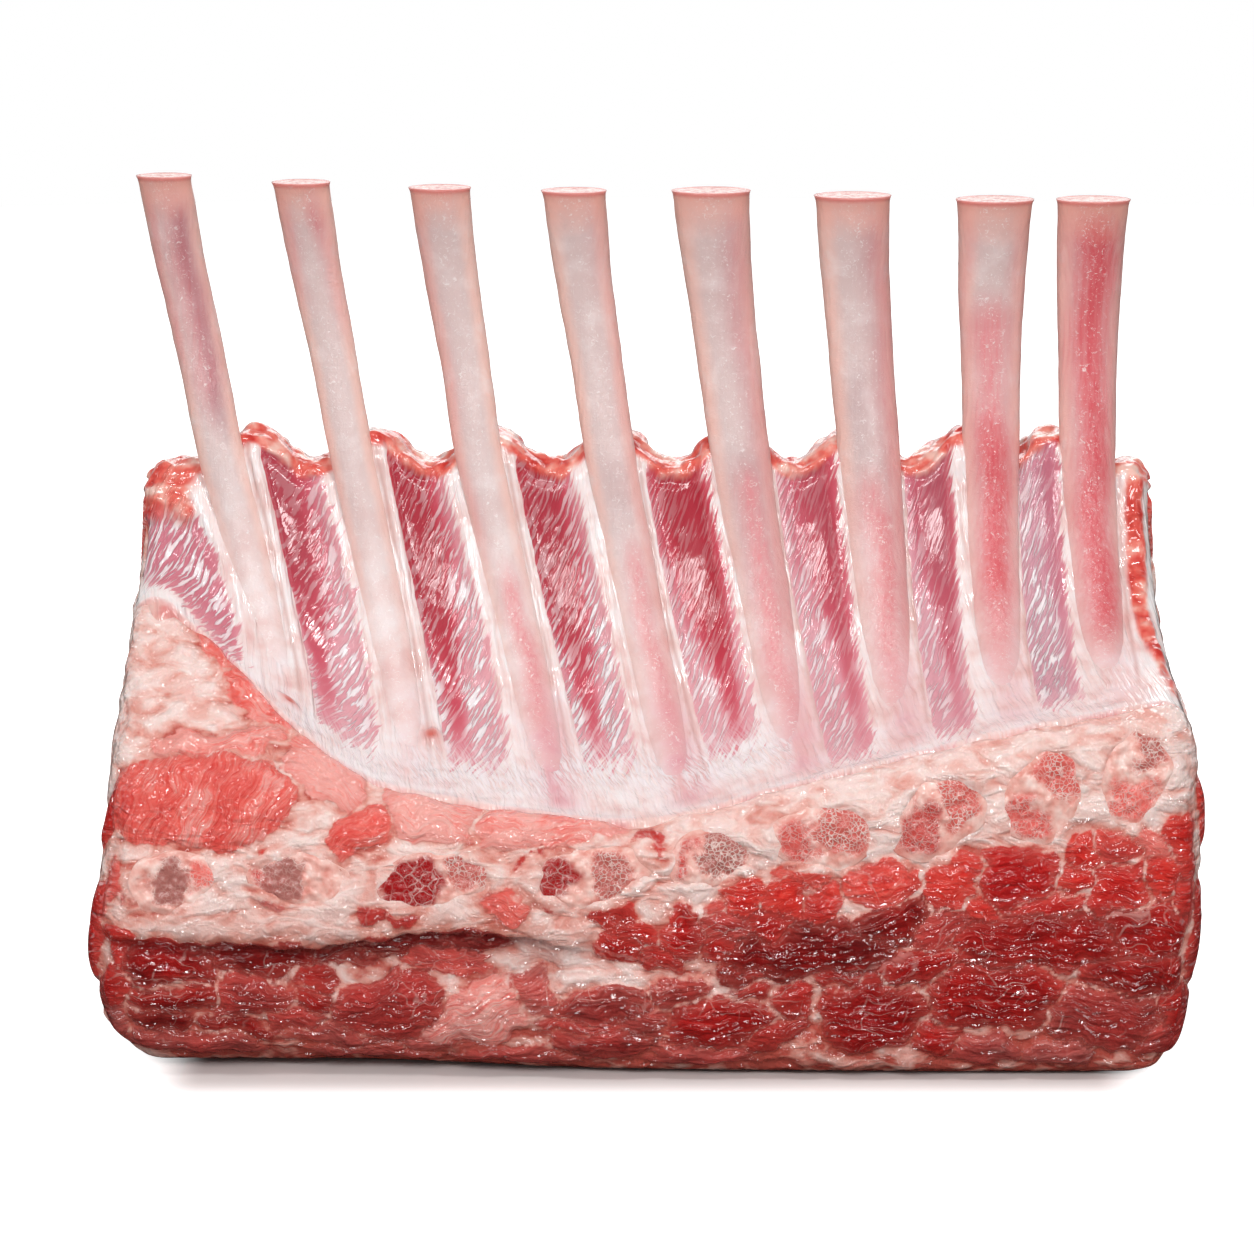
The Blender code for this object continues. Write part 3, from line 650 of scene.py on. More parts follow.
def cut_looks(points, end_share):
    """Every look of the cut faces at points on them, and how far the flesh stands proud."""
    x, y, z = points[..., 0], points[..., 1], points[..., 2]
    bend = np.stack([lumps(points, 7.0, seed) for seed in (1, 2)], axis=-1)
    bend = 2.2 * bend + 0.8 * np.stack([lumps(points, 2.4, seed) for seed in (3, 4)], axis=-1)
    front = lean_field(FRONT_LEAN, x + bend[..., 0], z + bend[..., 1])
    end = lean_field(END_LEAN, y + bend[..., 0], z + bend[..., 1])
    depth = mix(front[0], end[0], end_share)
    pick = (end_share > 0.5)[..., None]
    looks = np.where(pick, end[1], front[1])
    fibre = np.where(pick, end[2], front[2])
    inside = np.maximum(-depth, 0.0)
    fat = step(-0.1, 0.5, depth)
    lobes = 1.1 * lumps(points, 6.5, 5) + 0.25 * lumps(points, 2.6, 6)
    proud = (1.0 - fat) * 1.4 * (1.0 - np.exp(-inside / 2.2))
    proud += fat * (-0.2 + 1.0 * step(0.4, 3.5, depth) * (0.8 + lobes))
    proud -= 1.1 * fat * (1.0 - step(0.3, 1.6, depth)) * (1.0 - step(*SWELL_HEIGHTS, z))
    proud += 0.35 * lumps(points, 11.0, 7) + 0.06 * lumps(points, 1.9, 8)
    lip = z - read(*FOLD_LIP, x) + 1.0 * lumps(points, 4.5, 9)
    lip_share = (1.0 - step(*FOLD_LIP_FADE, x)) * (1.0 - end_share)
    over = step(-0.2, 0.9, lip)
    proud += lip_share * (2.2 * over * np.exp(-np.maximum(lip, 0.0) / 5.0)
                          - 1.4 * (1.0 - over) * np.exp(np.minimum(lip, 0.0) / 4.0))
    # Painted shade: dark red in the fold just under the lip, and darker pink fat on the lip's
    # underside near its edge.
    deep = 0.7 * lip_share * (1.0 - over) * np.exp(np.minimum(lip + 1.2, 0.0) / 1.6)
    lip_shade = lip_share * over * np.exp(-np.maximum(lip, 0.0) / 3.6)
    on_front = 1.0 - end_share
    uneven = 1.1 * lumps(points, 3.2, 17) + 0.4
    for bone in CHINE:
        edge = chine_edge(bone, x, z) + uneven
        depth = mix(depth, np.maximum(depth, 1.3 - 0.8 * np.maximum(edge, 0.0)), on_front)
        proud += on_front * (0.35 * bell(edge, 0.4, 1.5) - 2.0 * step(0.0, 2.6, -edge))
    return {
        "seam": depth, "tone": looks[..., 0], "blood": looks[..., 1], "glaze": looks[..., 2],
        "along": fibre[..., 0], "across": fibre[..., 1], "deep": deep, "lip": lip_shade,
    }, proud


def between(low_curve, high_curve, first_column):
    """A grid of points ruled between two curves, starting from a given first column."""
    share = np.linspace(0.0, 1.0, len(first_column))[None, :, None]
    ruled = (1.0 - share) * low_curve[:, None] + share * high_curve[:, None]
    fade = (1.0 - np.linspace(0.0, 1.0, len(low_curve)))[:, None, None] ** 2.0
    return ruled + fade * (first_column[None] - ruled[:1])


angle, loop, at, solid = sections(FRONT_COLUMNS)
front_first = at["corner"] - CORNER_TUCK
tucked, tucked_solid = (
    np.concatenate([sheet, sheet[:, :RIM_TUCK + 1]], axis=1) for sheet in (loop, solid))
front, places = rows_of(tucked, tucked_solid, front_first, at["rim"] + 1 + RIM_TUCK, FRONT_ROWS)
front = smooth_rows(front, 8)
past_rim = places - at["rim"]
end_share = np.broadcast_to(step(25.0, 70.0, angle)[:, None], front.shape[:2])
front_looks, front_proud = cut_looks(front, end_share)
front_proud = blur(front_proud, 1) * step(0.5, 4.0, front[..., 2])
front_proud *= 1.0 - step(0.0, 2.0, past_rim)
front_proud -= 2.2 * step(0.0, 5.0, past_rim + 2.0 * lumps(front, 6.0, 16))
front = front + normals_of(front) * front_proud[..., None]
front[..., 2] = np.maximum(front[..., 2], 0.0)
loin = build_sheet("loin_front", front, front_looks, (0.0, 5.0, 30.0))

loin_ends = []
for side, column in ((-1, 0), (1, -1)):
    ring = solid[column]
    crest_middle = at["crest"] + PART_STEPS["crest"] // 2
    lining_line, back_line = (evenly(walked(line), line, END_RUNGS) for line in (
        ring[RIM_TUCK:crest_middle + 1], ring[crest_middle:front_first + 1][::-1]))
    face = between(back_line, lining_line, front[column])
    reach = read(HEIGHT_KNOTS, LEFT_REACH if side < 0 else RIGHT_REACH, face[..., 2])
    face[1:, :, 0] = side * reach[1:]
    looks, proud = cut_looks(face, np.ones(face.shape[:2]))
    border = np.minimum(np.linspace(0, 1, END_RUNGS)[:, None] * 12.0, 1.0)
    rows = np.linspace(0.0, 1.0, FRONT_ROWS)[None, :]
    border = border * np.minimum(np.minimum(rows, 1.0 - rows) * 20.0, 1.0)
    face[..., 0] += side * proud * border
    if side < 0:
        face = face[::-1]
        looks = {name: values[::-1] for name, values in looks.items()}
    loin_ends.append(build_sheet("loin_end_left" if side < 0 else "loin_end_right",
                                 face, looks, (side * 60.0, 5.0, 30.0)))

# Raw lean is wet and grained, dark where the knife went through the middle of a muscle and
# pale where a skin of white tissue still lies over it. Fat is opaque, cream, pink at its
# thin edges. Small folds along the grain and the film of juice give short bright glints.
LEAN_RAMP = (
    (0.00, "560808"), (0.20, "780E0D"), (0.40, "A01613"), (0.58, "C6211D"),
    (0.76, "EC3B30"), (0.90, "FB6457"), (1.00, "FFA298"),
)
FAT_RAMP = ((0.0, "C4584C"), (0.2, "DE8D7F"), (0.45, "EDB0A4"), (0.75, "F7CFC6"), (1.0, "FBDFD8"))
# painted shade on the underside of the fat lip
LIP_SHADE = "B87464"
FINE, COARSE, PATCHES, FILM_LUMPS = 1.5, 9.0, 10.0, 2.8  # mm
STRINGY = (130.0, 130.0, 290.0)  # per metre: the fat is packed in flat strings along the loin
GRAIN = (0.15, 1.5, 11.0)  # per mm along and across the fibres, and apart from bundle to bundle
NET = (0.09, 0.22, 11.0)  # the same for the net of white threads
FILM = (0.26, 0.8, 11.0)  # and for the film of juice
BLOOD_RED = "C21318"
GLAZE_PINK = "F8B8AE"
MARGIN_PINK = "D9655A"
# painted shade in the fold under the lip
FOLD_SHADE = "640F10"
THREAD_WHITE = "F3D2C8"

cut, add, spot, look = start_material("knife-cut raw mutton, wet", front_looks)
fine = add("TexNoise", {"Vector": spot, "Scale": 1000.0 / FINE, "Detail": 3.0, "Roughness": 0.6})
coarse = add("TexNoise", {"Vector": spot, "Scale": 1000.0 / COARSE, "Detail": 2.0})
ragged = add("Math", [fine, 1.3, look["seam"]], operation="MULTIPLY_ADD")
fat = add("MapRange", [ragged, 0.42, 0.95], interpolation_type="SMOOTHSTEP")
grain_place = add("CombineXYZ", [look["along"], look["across"], look["tone"]])
grain_warp = add("VectorMath", [
    coarse.outputs["Color"], (0.8, 0.8, 0.0), grain_place], operation="MULTIPLY_ADD")
grain_scaled = add("VectorMath", [grain_warp, GRAIN], operation="MULTIPLY")
grain = add("TexNoise", {"Vector": grain_scaled, "Scale": 1.0, "Detail": 4.0, "Roughness": 0.65})
shade = add("Math", [grain, 0.6, look["tone"]], operation="MULTIPLY_ADD")
shade = add("Math", [coarse, 0.6, shade], operation="MULTIPLY_ADD")
shade = add("Math", [shade, 0.6], operation="SUBTRACT")
lean = add("ValToRGB", [shade], stops=LEAN_RAMP)
bled = add("Math", [look["blood"], 0.55], operation="MULTIPLY")
veil = add("MapRange", [grain, 0.35, 0.66, 0.3, 0.95])
veil = add("Math", [look["glaze"], veil], operation="MULTIPLY")

# the film over a bundle thickens toward its edge
margin = add("MapRange", [look["seam"], -2.6, 0.3, 0.0, 0.34], interpolation_type="SMOOTHSTEP")

# a broken net of white threads between the smaller bundles of fibre
web_place = add("VectorMath", [
    coarse.outputs["Color"], (5.0, 5.0, 0.0), grain_warp], operation="MULTIPLY_ADD")
web_place = add("VectorMath", [web_place, NET], operation="MULTIPLY")
web = add("TexVoronoi", {"Vector": web_place, "Scale": 1.0}, feature="DISTANCE_TO_EDGE")
thread = add("MapRange", [web, 0.003, 0.024, 0.3, 0.0])
patch = add("TexNoise", {"Vector": spot, "Scale": 1000.0 / PATCHES, "Detail": 1.0})
patchy = add("MapRange", [patch, 0.48, 0.66])
thread = add("Math", [thread, patchy], operation="MULTIPLY")
streak = add("MapRange", [grain, 0.62, 0.76, 0.0, 0.32])
thread = add("Math", [thread, streak], operation="MAXIMUM")
for amount, color in (
        (bled, BLOOD_RED), (veil, GLAZE_PINK), (margin, MARGIN_PINK), (thread, THREAD_WHITE)):
    lean = add("Mix", [amount, lean, color], data_type="RGBA")

strung = add("VectorMath", [spot, STRINGY], operation="MULTIPLY")
marbled = add("TexNoise", {
    "Vector": strung, "Scale": 1.0, "Detail": 2.5, "Roughness": 0.5, "Distortion": 0.8})
thick = add("Math", [ragged, 2.6], operation="MINIMUM")
thick = add("Math", [marbled, 9.5, thick], operation="MULTIPLY_ADD")
stand = add("SeparateXYZ", [spot])
# Painted shade: the fat turns darker and pinker toward the foot of the cut.
low = add("MapRange", [stand.outputs["Z"], 0.002, 0.022, -2.4, 0.0])
thick = add("Math", [thick, low], operation="ADD")
thick = add("MapRange", [thick, 4.3, 8.3])
cream = add("ValToRGB", [thick], stops=FAT_RAMP)
# painted shade on the lip's underside, and then in the fold below it
lip_shade = add("Math", [look["lip"], 0.85], operation="MULTIPLY")
cream = add("Mix", [lip_shade, cream, LIP_SHADE], data_type="RGBA")
for amount, color in ((fat, cream), (look["deep"], FOLD_SHADE)):
    lean = add("Mix", [amount, lean, color], data_type="RGBA")

film_place = add("VectorMath", [grain_warp, FILM], operation="MULTIPLY")
film_grain = add("TexNoise", {"Vector": film_place, "Scale": 1.0, "Detail": 0.0})
film_lumps = add("TexNoise", {"Vector": spot, "Scale": 1000.0 / FILM_LUMPS, "Detail": 1.0})
film_height = add("Mix", [fat, film_grain, film_lumps])
film_height = add("Math", [film_lumps, 1.2, film_height], operation="MULTIPLY_ADD")
folds = add("Math", [fine, 0.8, grain], operation="MULTIPLY_ADD")
folds = add("Math", [folds, 0.32], operation="MULTIPLY")
creased = add("Math", [fine, 0.35], operation="MULTIPLY")
folds = add("Mix", [fat, folds, creased])
folds = add("Math", [marbled, 1.3, folds], operation="MULTIPLY_ADD")
relief = add("Bump", {"Height": folds, "Strength": 1.0, "Distance": 0.0014})
film = add("Bump", {"Height": film_height, "Strength": 1.0, "Distance": 0.0028})
wet = add("MapRange", [coarse, 0.3, 0.7, 0.46, 0.26])
surface = add("BsdfPrincipled", {
    "Base Color": lean, "Roughness": wet, "Normal": relief, "Specular IOR Level": 0.08,
    "Subsurface Weight": 0.08, "Subsurface Radius": (1.0, 0.3, 0.2), "Subsurface Scale": 0.002,
    "Coat Weight": 1.0, "Coat IOR": 1.9, "Coat Roughness": 0.05, "Coat Normal": film})
add("OutputMaterial", {"Surface": surface})

for piece in [loin] + loin_ends:
    piece.data.materials.append(cut)
    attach(piece, "root")
    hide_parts("meat")


# --- Rib wall: the chest lining and the trimmed crest --------------------------------------
# Inside, the ribs and the lean between them lie under a thin glossy membrane, which is
# torn to silvery threads over the lean and runs down into a white bowl. The crest is where
# the meat was cut from the bones: a rolled, bright edge of lean and fat.
LINING_ROWS = 232
LINING_COLUMNS = 384
LINING_END_COLUMNS = 14
RIM_OVERLAP = 3  # outline steps by which the lining starts before the rim
CREST_OVERLAP = 6  # steps by which it runs on under the fat of the back
RIB_FOOT_WIDTH = 9.0
RIB_BOWS = (2.8, 3.8, 3.6, 2.8, 2.4, 1.0, 0.0, 0.6)
RIB_PITCH = 30.0
RIB_FOOT_PINK = (0.1, 0.2, 0.8, 0.9, 0.8, 0.6, 0.4, 0.25)
LINING_GAPS = (
    # between two ribs: left and right edge of the lean as shares of the gap, the place on
    # the lining where it ends, where in it the smooth crimson band lies, how crimson, how
    # silvery (white threads, whose white also paints their glints), how mauve it is and how
    # fibrous the fat below it is
    (0.30, 0.78, 0.90, 0.24, 1.05, 0.95, 0.20, 0.8),
    (0.28, 0.74, 0.84, 0.26, 1.20, 1.15, 0.10, 1.0),
    (0.28, 0.72, 0.76, 0.34, 1.10, 1.35, 0.12, 1.0),
    (0.27, 0.74, 0.78, 0.62, 1.15, 0.70, 0.08, 1.0),
    (0.27, 0.74, 0.97, 0.76, 0.95, 0.75, 0.25, 0.4),
    (0.29, 0.68, 0.98, 0.66, 1.00, 0.60, 0.40, 0.3),
    (0.28, 0.70, 0.93, 0.90, 0.55, 1.00, 0.75, 0.3),
)
LINING_RUN = 80.0  # mm from the crest to the rim, about
NUBS = ((0, 2.0, 0.86), (1, 6.0, 0.67))  # rib, mm right of it and place of a nub of gristle
CUT_STRIP = (112.4, 117.0)  # x of the strip of cut meat by the last rib, high and low
LOBE = (-109.0, 97.0)  # x and z of a knob of fat at the left end of the rim


def rib_x(number, down):
    """Middle of a rib on the lining, from the wall's edge at 0 down to its foot at 1."""
    _, edge, foot, _, _, _ = RIBS[number]
    return mix(edge, foot, down) + 4.0 * down * (1.0 - down) * RIB_BOWS[number]


def foot_blush(number, beside, down):
    """How pink the lining is beside the foot of a rib, or of each place's own rib."""
    down_share = within(0.3, 0.6, 0.88, 0.98, down)
    return np.array(RIB_FOOT_PINK)[number] * bell(beside, 1.5, 4.5) * down_share


_, loop, at, solid = sections(LINING_COLUMNS, LINING_END_COLUMNS)
before = slice(at["rim"] - RIM_OVERLAP, at["rim"] + 1)
looped, looped_solid = (
    np.concatenate([sheet[:, before], sheet], axis=1) for sheet in (loop, solid))
lining, places = rows_of(looped, looped_solid, 0,
                         at["back"] + CREST_OVERLAP + RIM_OVERLAP + 1, LINING_ROWS)
lining = smooth_rows(lining, 4)
places -= RIM_OVERLAP + 1
x, y, z = lining[..., 0], lining[..., 1], lining[..., 2]
run = np.cumsum(np.linalg.norm(np.diff(lining, axis=1, prepend=lining[:, :1]), axis=2), axis=1)
down = np.clip(1.0 - places / at["crest"], 0.0, 1.0)
rib_places = np.stack([rib_x(number, down) for number in range(len(RIBS))])
lane = (np.minimum(x - rib_places[0], 0.0) + np.maximum(x - rib_places[-1], 0.0)) / RIB_PITCH
for left, right in zip(rib_places, rib_places[1:]):
    lane += np.clip((x - left) / (right - left), 0.0, 1.0)
nearest_rib = np.argmin(np.abs(x - rib_places), axis=0)
beside = x - np.take_along_axis(rib_places, nearest_rib[None], axis=0)[0]
edge_widths = np.array([rib[5] for rib in RIBS])
beside_rib = np.abs(beside) - 0.5 * mix(edge_widths[nearest_rib], RIB_FOOT_WIDTH, down)

ragged = lumps(lining, 5.0, 21)
fine_lumps = lumps(lining, 1.8, 22)
lean, crimson, silver, mauve, fringe, fibrous, sunk, nub = np.zeros((8,) + x.shape)
for number, (left, right, end, band, red, silvery, purple, fibres) in enumerate(LINING_GAPS):
    g = lane - number + 0.012 * ragged
    inside_gap = within(0.0, 0.05, 0.95, 1.0, g)
    u = (g - left) / (right - left)
    over_bowl = 1.0 - step(end - 0.20, end + 0.05, down + 0.03 * ragged)
    here = within(-0.04, 0.04, 0.72, 1.22, u) * over_bowl
    band_width = mix(0.55, 0.17, step(0.0, 0.55, down))
    smooth_band = np.exp(-np.abs((u - band) / band_width) ** 3)
    lean = np.maximum(lean, here)
    sunk = np.maximum(sunk, here * (1.0 - step(end - 0.35, end - 0.12, down)))
    crimson += here * red * smooth_band * mix(1.0, 0.2, step(0.1, 0.8, down))
    silver += here * silvery * (1.0 - 0.8 * smooth_band) * (0.65 + 0.35 * step(0.0, 0.35, down))
    mauve += here * purple
    fringe += inside_gap * np.maximum(step(0.45, 0.85, u), 1.3 * step(end - 0.22, end - 0.05, down))
    fibrous += inside_gap * fibres * bell(down, end - 0.02, 0.10)

# past the first and the last rib
clear_of_rim = step(2.0, 9.0, z - read(STATIONS, RIM_Z, x))
outer = step(-0.20, -0.42, lane + 0.03 * ragged) * clear_of_rim
lean = np.maximum(lean, outer)
sunk = np.maximum(sunk, outer * 0.6)
crimson += outer * 0.35
silver += outer * 0.85
mauve += outer * 0.45
fringe += step(-0.05, -0.15, lane)
corner = step(-103.0, -106.0, x + 1.5 * ragged) * (1.0 - step(0.08, 0.20, down + 0.05 * ragged))
cut_middle = mix(*CUT_STRIP, step(0.4, 1.0, down))
cut_half = mix(1.7, 0.8, step(0.4, 0.9, down)) + 0.5 * ragged
cut_strip = step(0.9, -0.3, np.abs(x - cut_middle) - cut_half) * (1.0 - step(0.86, 0.94, down))

crest_share = step(at["crest"] + 3.0, at["crest"] + 5.5, places + 1.8 * ragged + 1.4 * fine_lumps)
crest_share = np.maximum(crest_share, np.maximum(corner, cut_strip))
bowl = step(0.70, 0.9, down) * (1.0 - lean)
foot = foot_blush(nearest_rib, beside, down)
on_wall = (1.0 - step(0.62, 0.92, down)) * (1.0 - crest_share)
cord = bell(beside_rib, 2.2, 1.3) * on_wall
proud = 0.9 * cord - blur(sunk, 3) * (1.0 - crest_share)
proud += 0.3 * ragged * bowl + 0.5 * lumps(lining, 12.0, 23) * bowl + 0.10 * fine_lumps
proud += 0.2 * fibrous * fine_lumps
proud += crest_share * (0.7 + 1.5 * lumps(lining, 4.6, 24) + 0.5 * fine_lumps)
proud += 2.6 * bell(x, LOBE[0], 4.5) * bell(z, LOBE[1], 5.5)
for number, aside, place in NUBS:
    from_nub = np.hypot(x - rib_x(number, place) - aside, (down - place) * LINING_RUN)
    nub = np.maximum(nub, bell(from_nub, 0.0, 2.0))
    proud += 1.1 * bell(from_nub, 1.4, 1.1)
proud = blur(proud, 1)
proud -= 1.3 * (1.0 - step(0.0, 3.0, places + 2.0 * ragged))
proud -= 3.0 * step(at["back"] - 2.0, at["back"] + CREST_OVERLAP, places)
lining = lining + normals_of(lining) * proud[..., None]
wall_looks = {
    "lean": lean, "crimson": crimson, "silver": silver, "mauve": mauve, "crest": crest_share,
    "bowl": bowl, "run": run, "beside": np.sign(beside) * np.maximum(beside_rib, 0.0),
    "rim": 1.0 - step(0.0, 5.0, places + 2.0 * ragged), "foot": foot, "nub": nub,
    "fringe": np.clip(fringe, 0.0, 1.3), "fibrous": np.clip(fibrous, 0.0, 1.0),
}
rib_wall = build_sheet("rib_wall", lining, wall_looks, (0.0, 25.0, 50.0))

# The membrane is wet and tight, milky where it lies on fat and clear where it lies on lean.
# It was torn along the grain when the chest was opened: white threads over dark crimson.
# The threads' white is partly their own colour and partly painted glints.
CLOUDS, CREST_SPOTS = 8.0, 4.5  # mm
FIBRES = (
    # degrees they lean to the right of upright, size in mm, how crooked: the torn threads, the
    # faint streaks of the membrane and the tufts of white fat at the foot of the wall
    (-21.0, (0.75, 8.0, 1.0), 0.15), (9.0, (1.3, 22.0, 1.0), 0.0), (24.0, (0.5, 5.0, 1.0), 0.6),
)
LINING_LEAN = (
    (0.0, "ECA9B1"), (0.25, "E07F8B"), (0.55, "D14E5E"), (0.85, "C43243"), (1.0, "B62334"))
MAUVE = "BE99AD"
# white of the torn threads, and painted glints along them
SILVER_AND_GLINT = "FCF2F4"
MEMBRANE = ((0.30, "ECC2BE"), (0.44, "F4D8D4"), (0.57, "FBEAE8"), (0.75, "FEF7F7"))
TUFT_WHITE = "FCF3F6"
NUB_RED = "D96A5E"
RIB_LINE = "C08A80"
FOOT_PINK = "DB6F82"
RIM_RAMP = ((0.38, "F1C4B9"), (0.50, "EBA398"), (0.62, "D9635B"))
CREST_RAMP = (
    (0.30, "CC3A33"), (0.40, "E2594F"), (0.49, "EC7668"), (0.58, "F39E90"), (0.68, "F8C8BB"))

skin, add, spot, look = start_material("chest membrane over lean and fat, wet", wall_looks)
place = add("SeparateXYZ", [spot])
across_mm = add("Math", [place.outputs["X"], 1000.0], operation="MULTIPLY")
coarse = add("TexNoise", {"Vector": spot, "Scale": 1000.0 / CLOUDS, "Detail": 3.0})
sheet = add("CombineXYZ", [across_mm, look["run"]])
sheet = add("VectorMath", [
    coarse.outputs["Color"], (2.0, 2.0, 0.0), sheet], operation="MULTIPLY_ADD")
fibres = []
for tilt, size, crooked in FIBRES:
    combed = add("Mapping", {
        "Vector": sheet, "Rotation": (0.0, 0.0, math.radians(tilt)), "Scale": size},
        vector_type="TEXTURE")
    fibres.append(add("TexNoise", {
        "Vector": combed, "Scale": 1.0, "Detail": 2.0, "Roughness": 0.5, "Distortion": crooked}))
threads, strands, tufts = fibres
thread = add("MapRange", [threads, 0.5, 0.57])
loose = add("MapRange", [look["fringe"], 0.0, 1.3, 0.25, 1.8])
centred = add("Math", [0.5, threads], operation="SUBTRACT")
frayed = add("Math", [centred, loose, look["lean"]], operation="MULTIPLY_ADD")
frayed = add("MapRange", [frayed, 0.32, 0.6], interpolation_type="SMOOTHSTEP")
dim = add("Math", [coarse, 0.35, look["crimson"]], operation="MULTIPLY_ADD")
dim = add("Math", [dim, 0.15], operation="SUBTRACT")
red = add("ValToRGB", [dim], stops=LINING_LEAN)
blue = add("Math", [look["mauve"], 0.6], operation="MULTIPLY")
# the threads turn white: their own colour and painted glints
torn = add("Math", [thread, look["silver"]], operation="MULTIPLY")
for amount, color in ((blue, MAUVE), (torn, SILVER_AND_GLINT)):
    red = add("Mix", [amount, red, color], data_type="RGBA")
milk = add("Math", [look["bowl"], 0.06, coarse], operation="MULTIPLY_ADD")
milk = add("Math", [strands, 0.45, milk], operation="MULTIPLY_ADD")
milk = add("Math", [milk, 0.2], operation="SUBTRACT")
milky = add("ValToRGB", [milk], stops=MEMBRANE)
line_place = add("Math", [coarse, -0.9, look["beside"]], operation="MULTIPLY_ADD")
line_place = add("Math", [line_place, 0.4], operation="SUBTRACT")
line_place = add("Math", [line_place], operation="ABSOLUTE")
line = add("MapRange", [line_place, 0.1, 0.8, 0.42, 0.0])
high_up = add("Math", [1.0, look["bowl"]], operation="SUBTRACT")
line = add("Math", [line, high_up], operation="MULTIPLY")
blush = add("MapRange", [coarse, 0.35, 0.65, 0.35, 0.9])
blush = add("Math", [look["foot"], blush], operation="MULTIPLY")
tufted = add("MapRange", [tufts, 0.4, 0.55])
tufted = add("Math", [look["fibrous"], tufted], operation="MULTIPLY")
tufted = add("Math", [tufted, 0.8], operation="MULTIPLY")
rim_red = add("ValToRGB", [coarse], stops=RIM_RAMP)
rim_share = add("Math", [look["rim"], 0.8], operation="MULTIPLY")
crest_spots = add("TexNoise", {"Vector": spot, "Scale": 1000.0 / CREST_SPOTS, "Detail": 2.0})
crest_fac = add("Math", [crest_spots, 0.8, coarse], operation="MULTIPLY_ADD")
crest_fac = add("Math", [crest_fac, 0.4], operation="SUBTRACT")
rolled = add("ValToRGB", [crest_fac], stops=CREST_RAMP)
for amount, color in (
        (line, RIB_LINE), (blush, FOOT_PINK), (rim_share, rim_red), (frayed, red),
        (tufted, TUFT_WHITE), (look["nub"], NUB_RED), (look["crest"], rolled)):
    milky = add("Mix", [amount, milky, color], data_type="RGBA")
ridges = add("Math", [torn, frayed], operation="MULTIPLY")
rough_share = add("Math", [look["crest"], frayed], operation="MAXIMUM")
hairy = add("Math", [centred, look["silver"]], operation="MULTIPLY")
hairy = add("Math", [0.5, hairy], operation="SUBTRACT")
lumpy = add("Mix", [look["crest"], hairy, crest_spots])
creases = add("Mix", [rough_share, strands, lumpy])
creases = add("Math", [tufted, 0.15, creases], operation="MULTIPLY_ADD")
ridges = add("Math", [ridges, 0.22, creases], operation="MULTIPLY_ADD")
relief = add("Bump", {"Height": ridges, "Strength": 1.0, "Distance": 0.001})
surface = add("BsdfPrincipled", {
    "Base Color": milky, "Roughness": 0.3, "Normal": relief, "Specular IOR Level": 0.2,
    "Subsurface Weight": 0.1, "Subsurface Radius": (1.0, 0.5, 0.4), "Subsurface Scale": 0.003,
    "Coat Weight": 1.0, "Coat IOR": 1.6, "Coat Roughness": 0.07, "Coat Normal": relief})
add("OutputMaterial", {"Surface": surface})

rib_wall.data.materials.append(skin)
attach(rib_wall, "root")
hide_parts("meat")


# --- Fat cap ------------------------------------------------------------------------------
# Firm cream fat, five millimetres thick, left on over the back and the underside. It was
# trimmed with a knife, so it lies in broad soft facets with a little pink showing through.
CAP_ROWS = 236
CAP_COLUMNS = 236
CAP_END_COLUMNS = 20
CAP_START = 4  # outline steps before the back edge of the crest

_, loop, at, solid = sections(CAP_COLUMNS, CAP_END_COLUMNS)
cap, places = rows_of(loop, solid, at["back"] - CAP_START, at["corner"] + 10, CAP_ROWS)
cap = smooth_rows(cap, 6)
facets = 1.3 * lumps(cap, 26.0, 31) + 0.9 * lumps(cap, 11.0, 32) + 0.24 * lumps(cap, 3.5, 33)
above = step(0.3, 6.0, cap[..., 2])
proud = above * (0.5 + facets)
proud -= 1.6 * (1.0 - step(0.0, 6.0, places - at["back"] + CAP_START + 1.5 * lumps(cap, 6.0, 34)))
proud -= 0.8 * step(2.0, 9.0, places - at["corner"])
cap = cap + normals_of(cap) * proud[..., None]
cap[..., 2] = np.maximum(cap[..., 2], 0.0)
thin = step(0.1, 0.7, lumps(cap, 30.0, 35) + 0.4 * lumps(cap, 9.0, 36) - 0.1)
thin = np.maximum(thin, 0.8 * step(1.0, 8.0, places - at["corner"]))
fat_cap = build_sheet("fat_cap", cap, {"thin": thin}, (0.0, 10.0, 40.0))

# Cold hard fat is waxy and opaque. Where the knife left little of it the lean below shows
# pink through it, with small blood vessels and the strokes of the knife.
CAP_RAMP = ((0.25, "EDB9AC"), (0.45, "F3CDC2"), (0.6, "F7DAD0"), (0.8, "F9E6DE"))
CAP_PINK = "DE8476"
MOTTLE = 14.0  # mm
STROKES = (120.0, 700.0, 480.0)  # of the knife, per metre

cream, add, spot, look = start_material("hard mutton fat, knife-trimmed", ("thin",))
mottle = add("TexNoise", {
    "Vector": spot, "Scale": 1000.0 / MOTTLE, "Detail": 5.0, "Roughness": 0.6})
strokes = add("VectorMath", [spot, STROKES], operation="MULTIPLY")
strokes = add("TexNoise", {"Vector": strokes, "Scale": 1.0, "Detail": 3.0, "Roughness": 0.6})
tone = add("Math", [strokes, 0.3, mottle], operation="MULTIPLY_ADD")
tone = add("Math", [tone, 0.15], operation="SUBTRACT")
fat_color = add("ValToRGB", [tone], stops=CAP_RAMP)
pink = add("MapRange", [strokes, 0.35, 0.65, 0.35, 0.85])
pink = add("Math", [look["thin"], pink], operation="MULTIPLY")
fat_color = add("Mix", [pink, fat_color, CAP_PINK], data_type="RGBA")
relief = add("Bump", {"Height": strokes, "Strength": 0.6, "Distance": 0.0006})
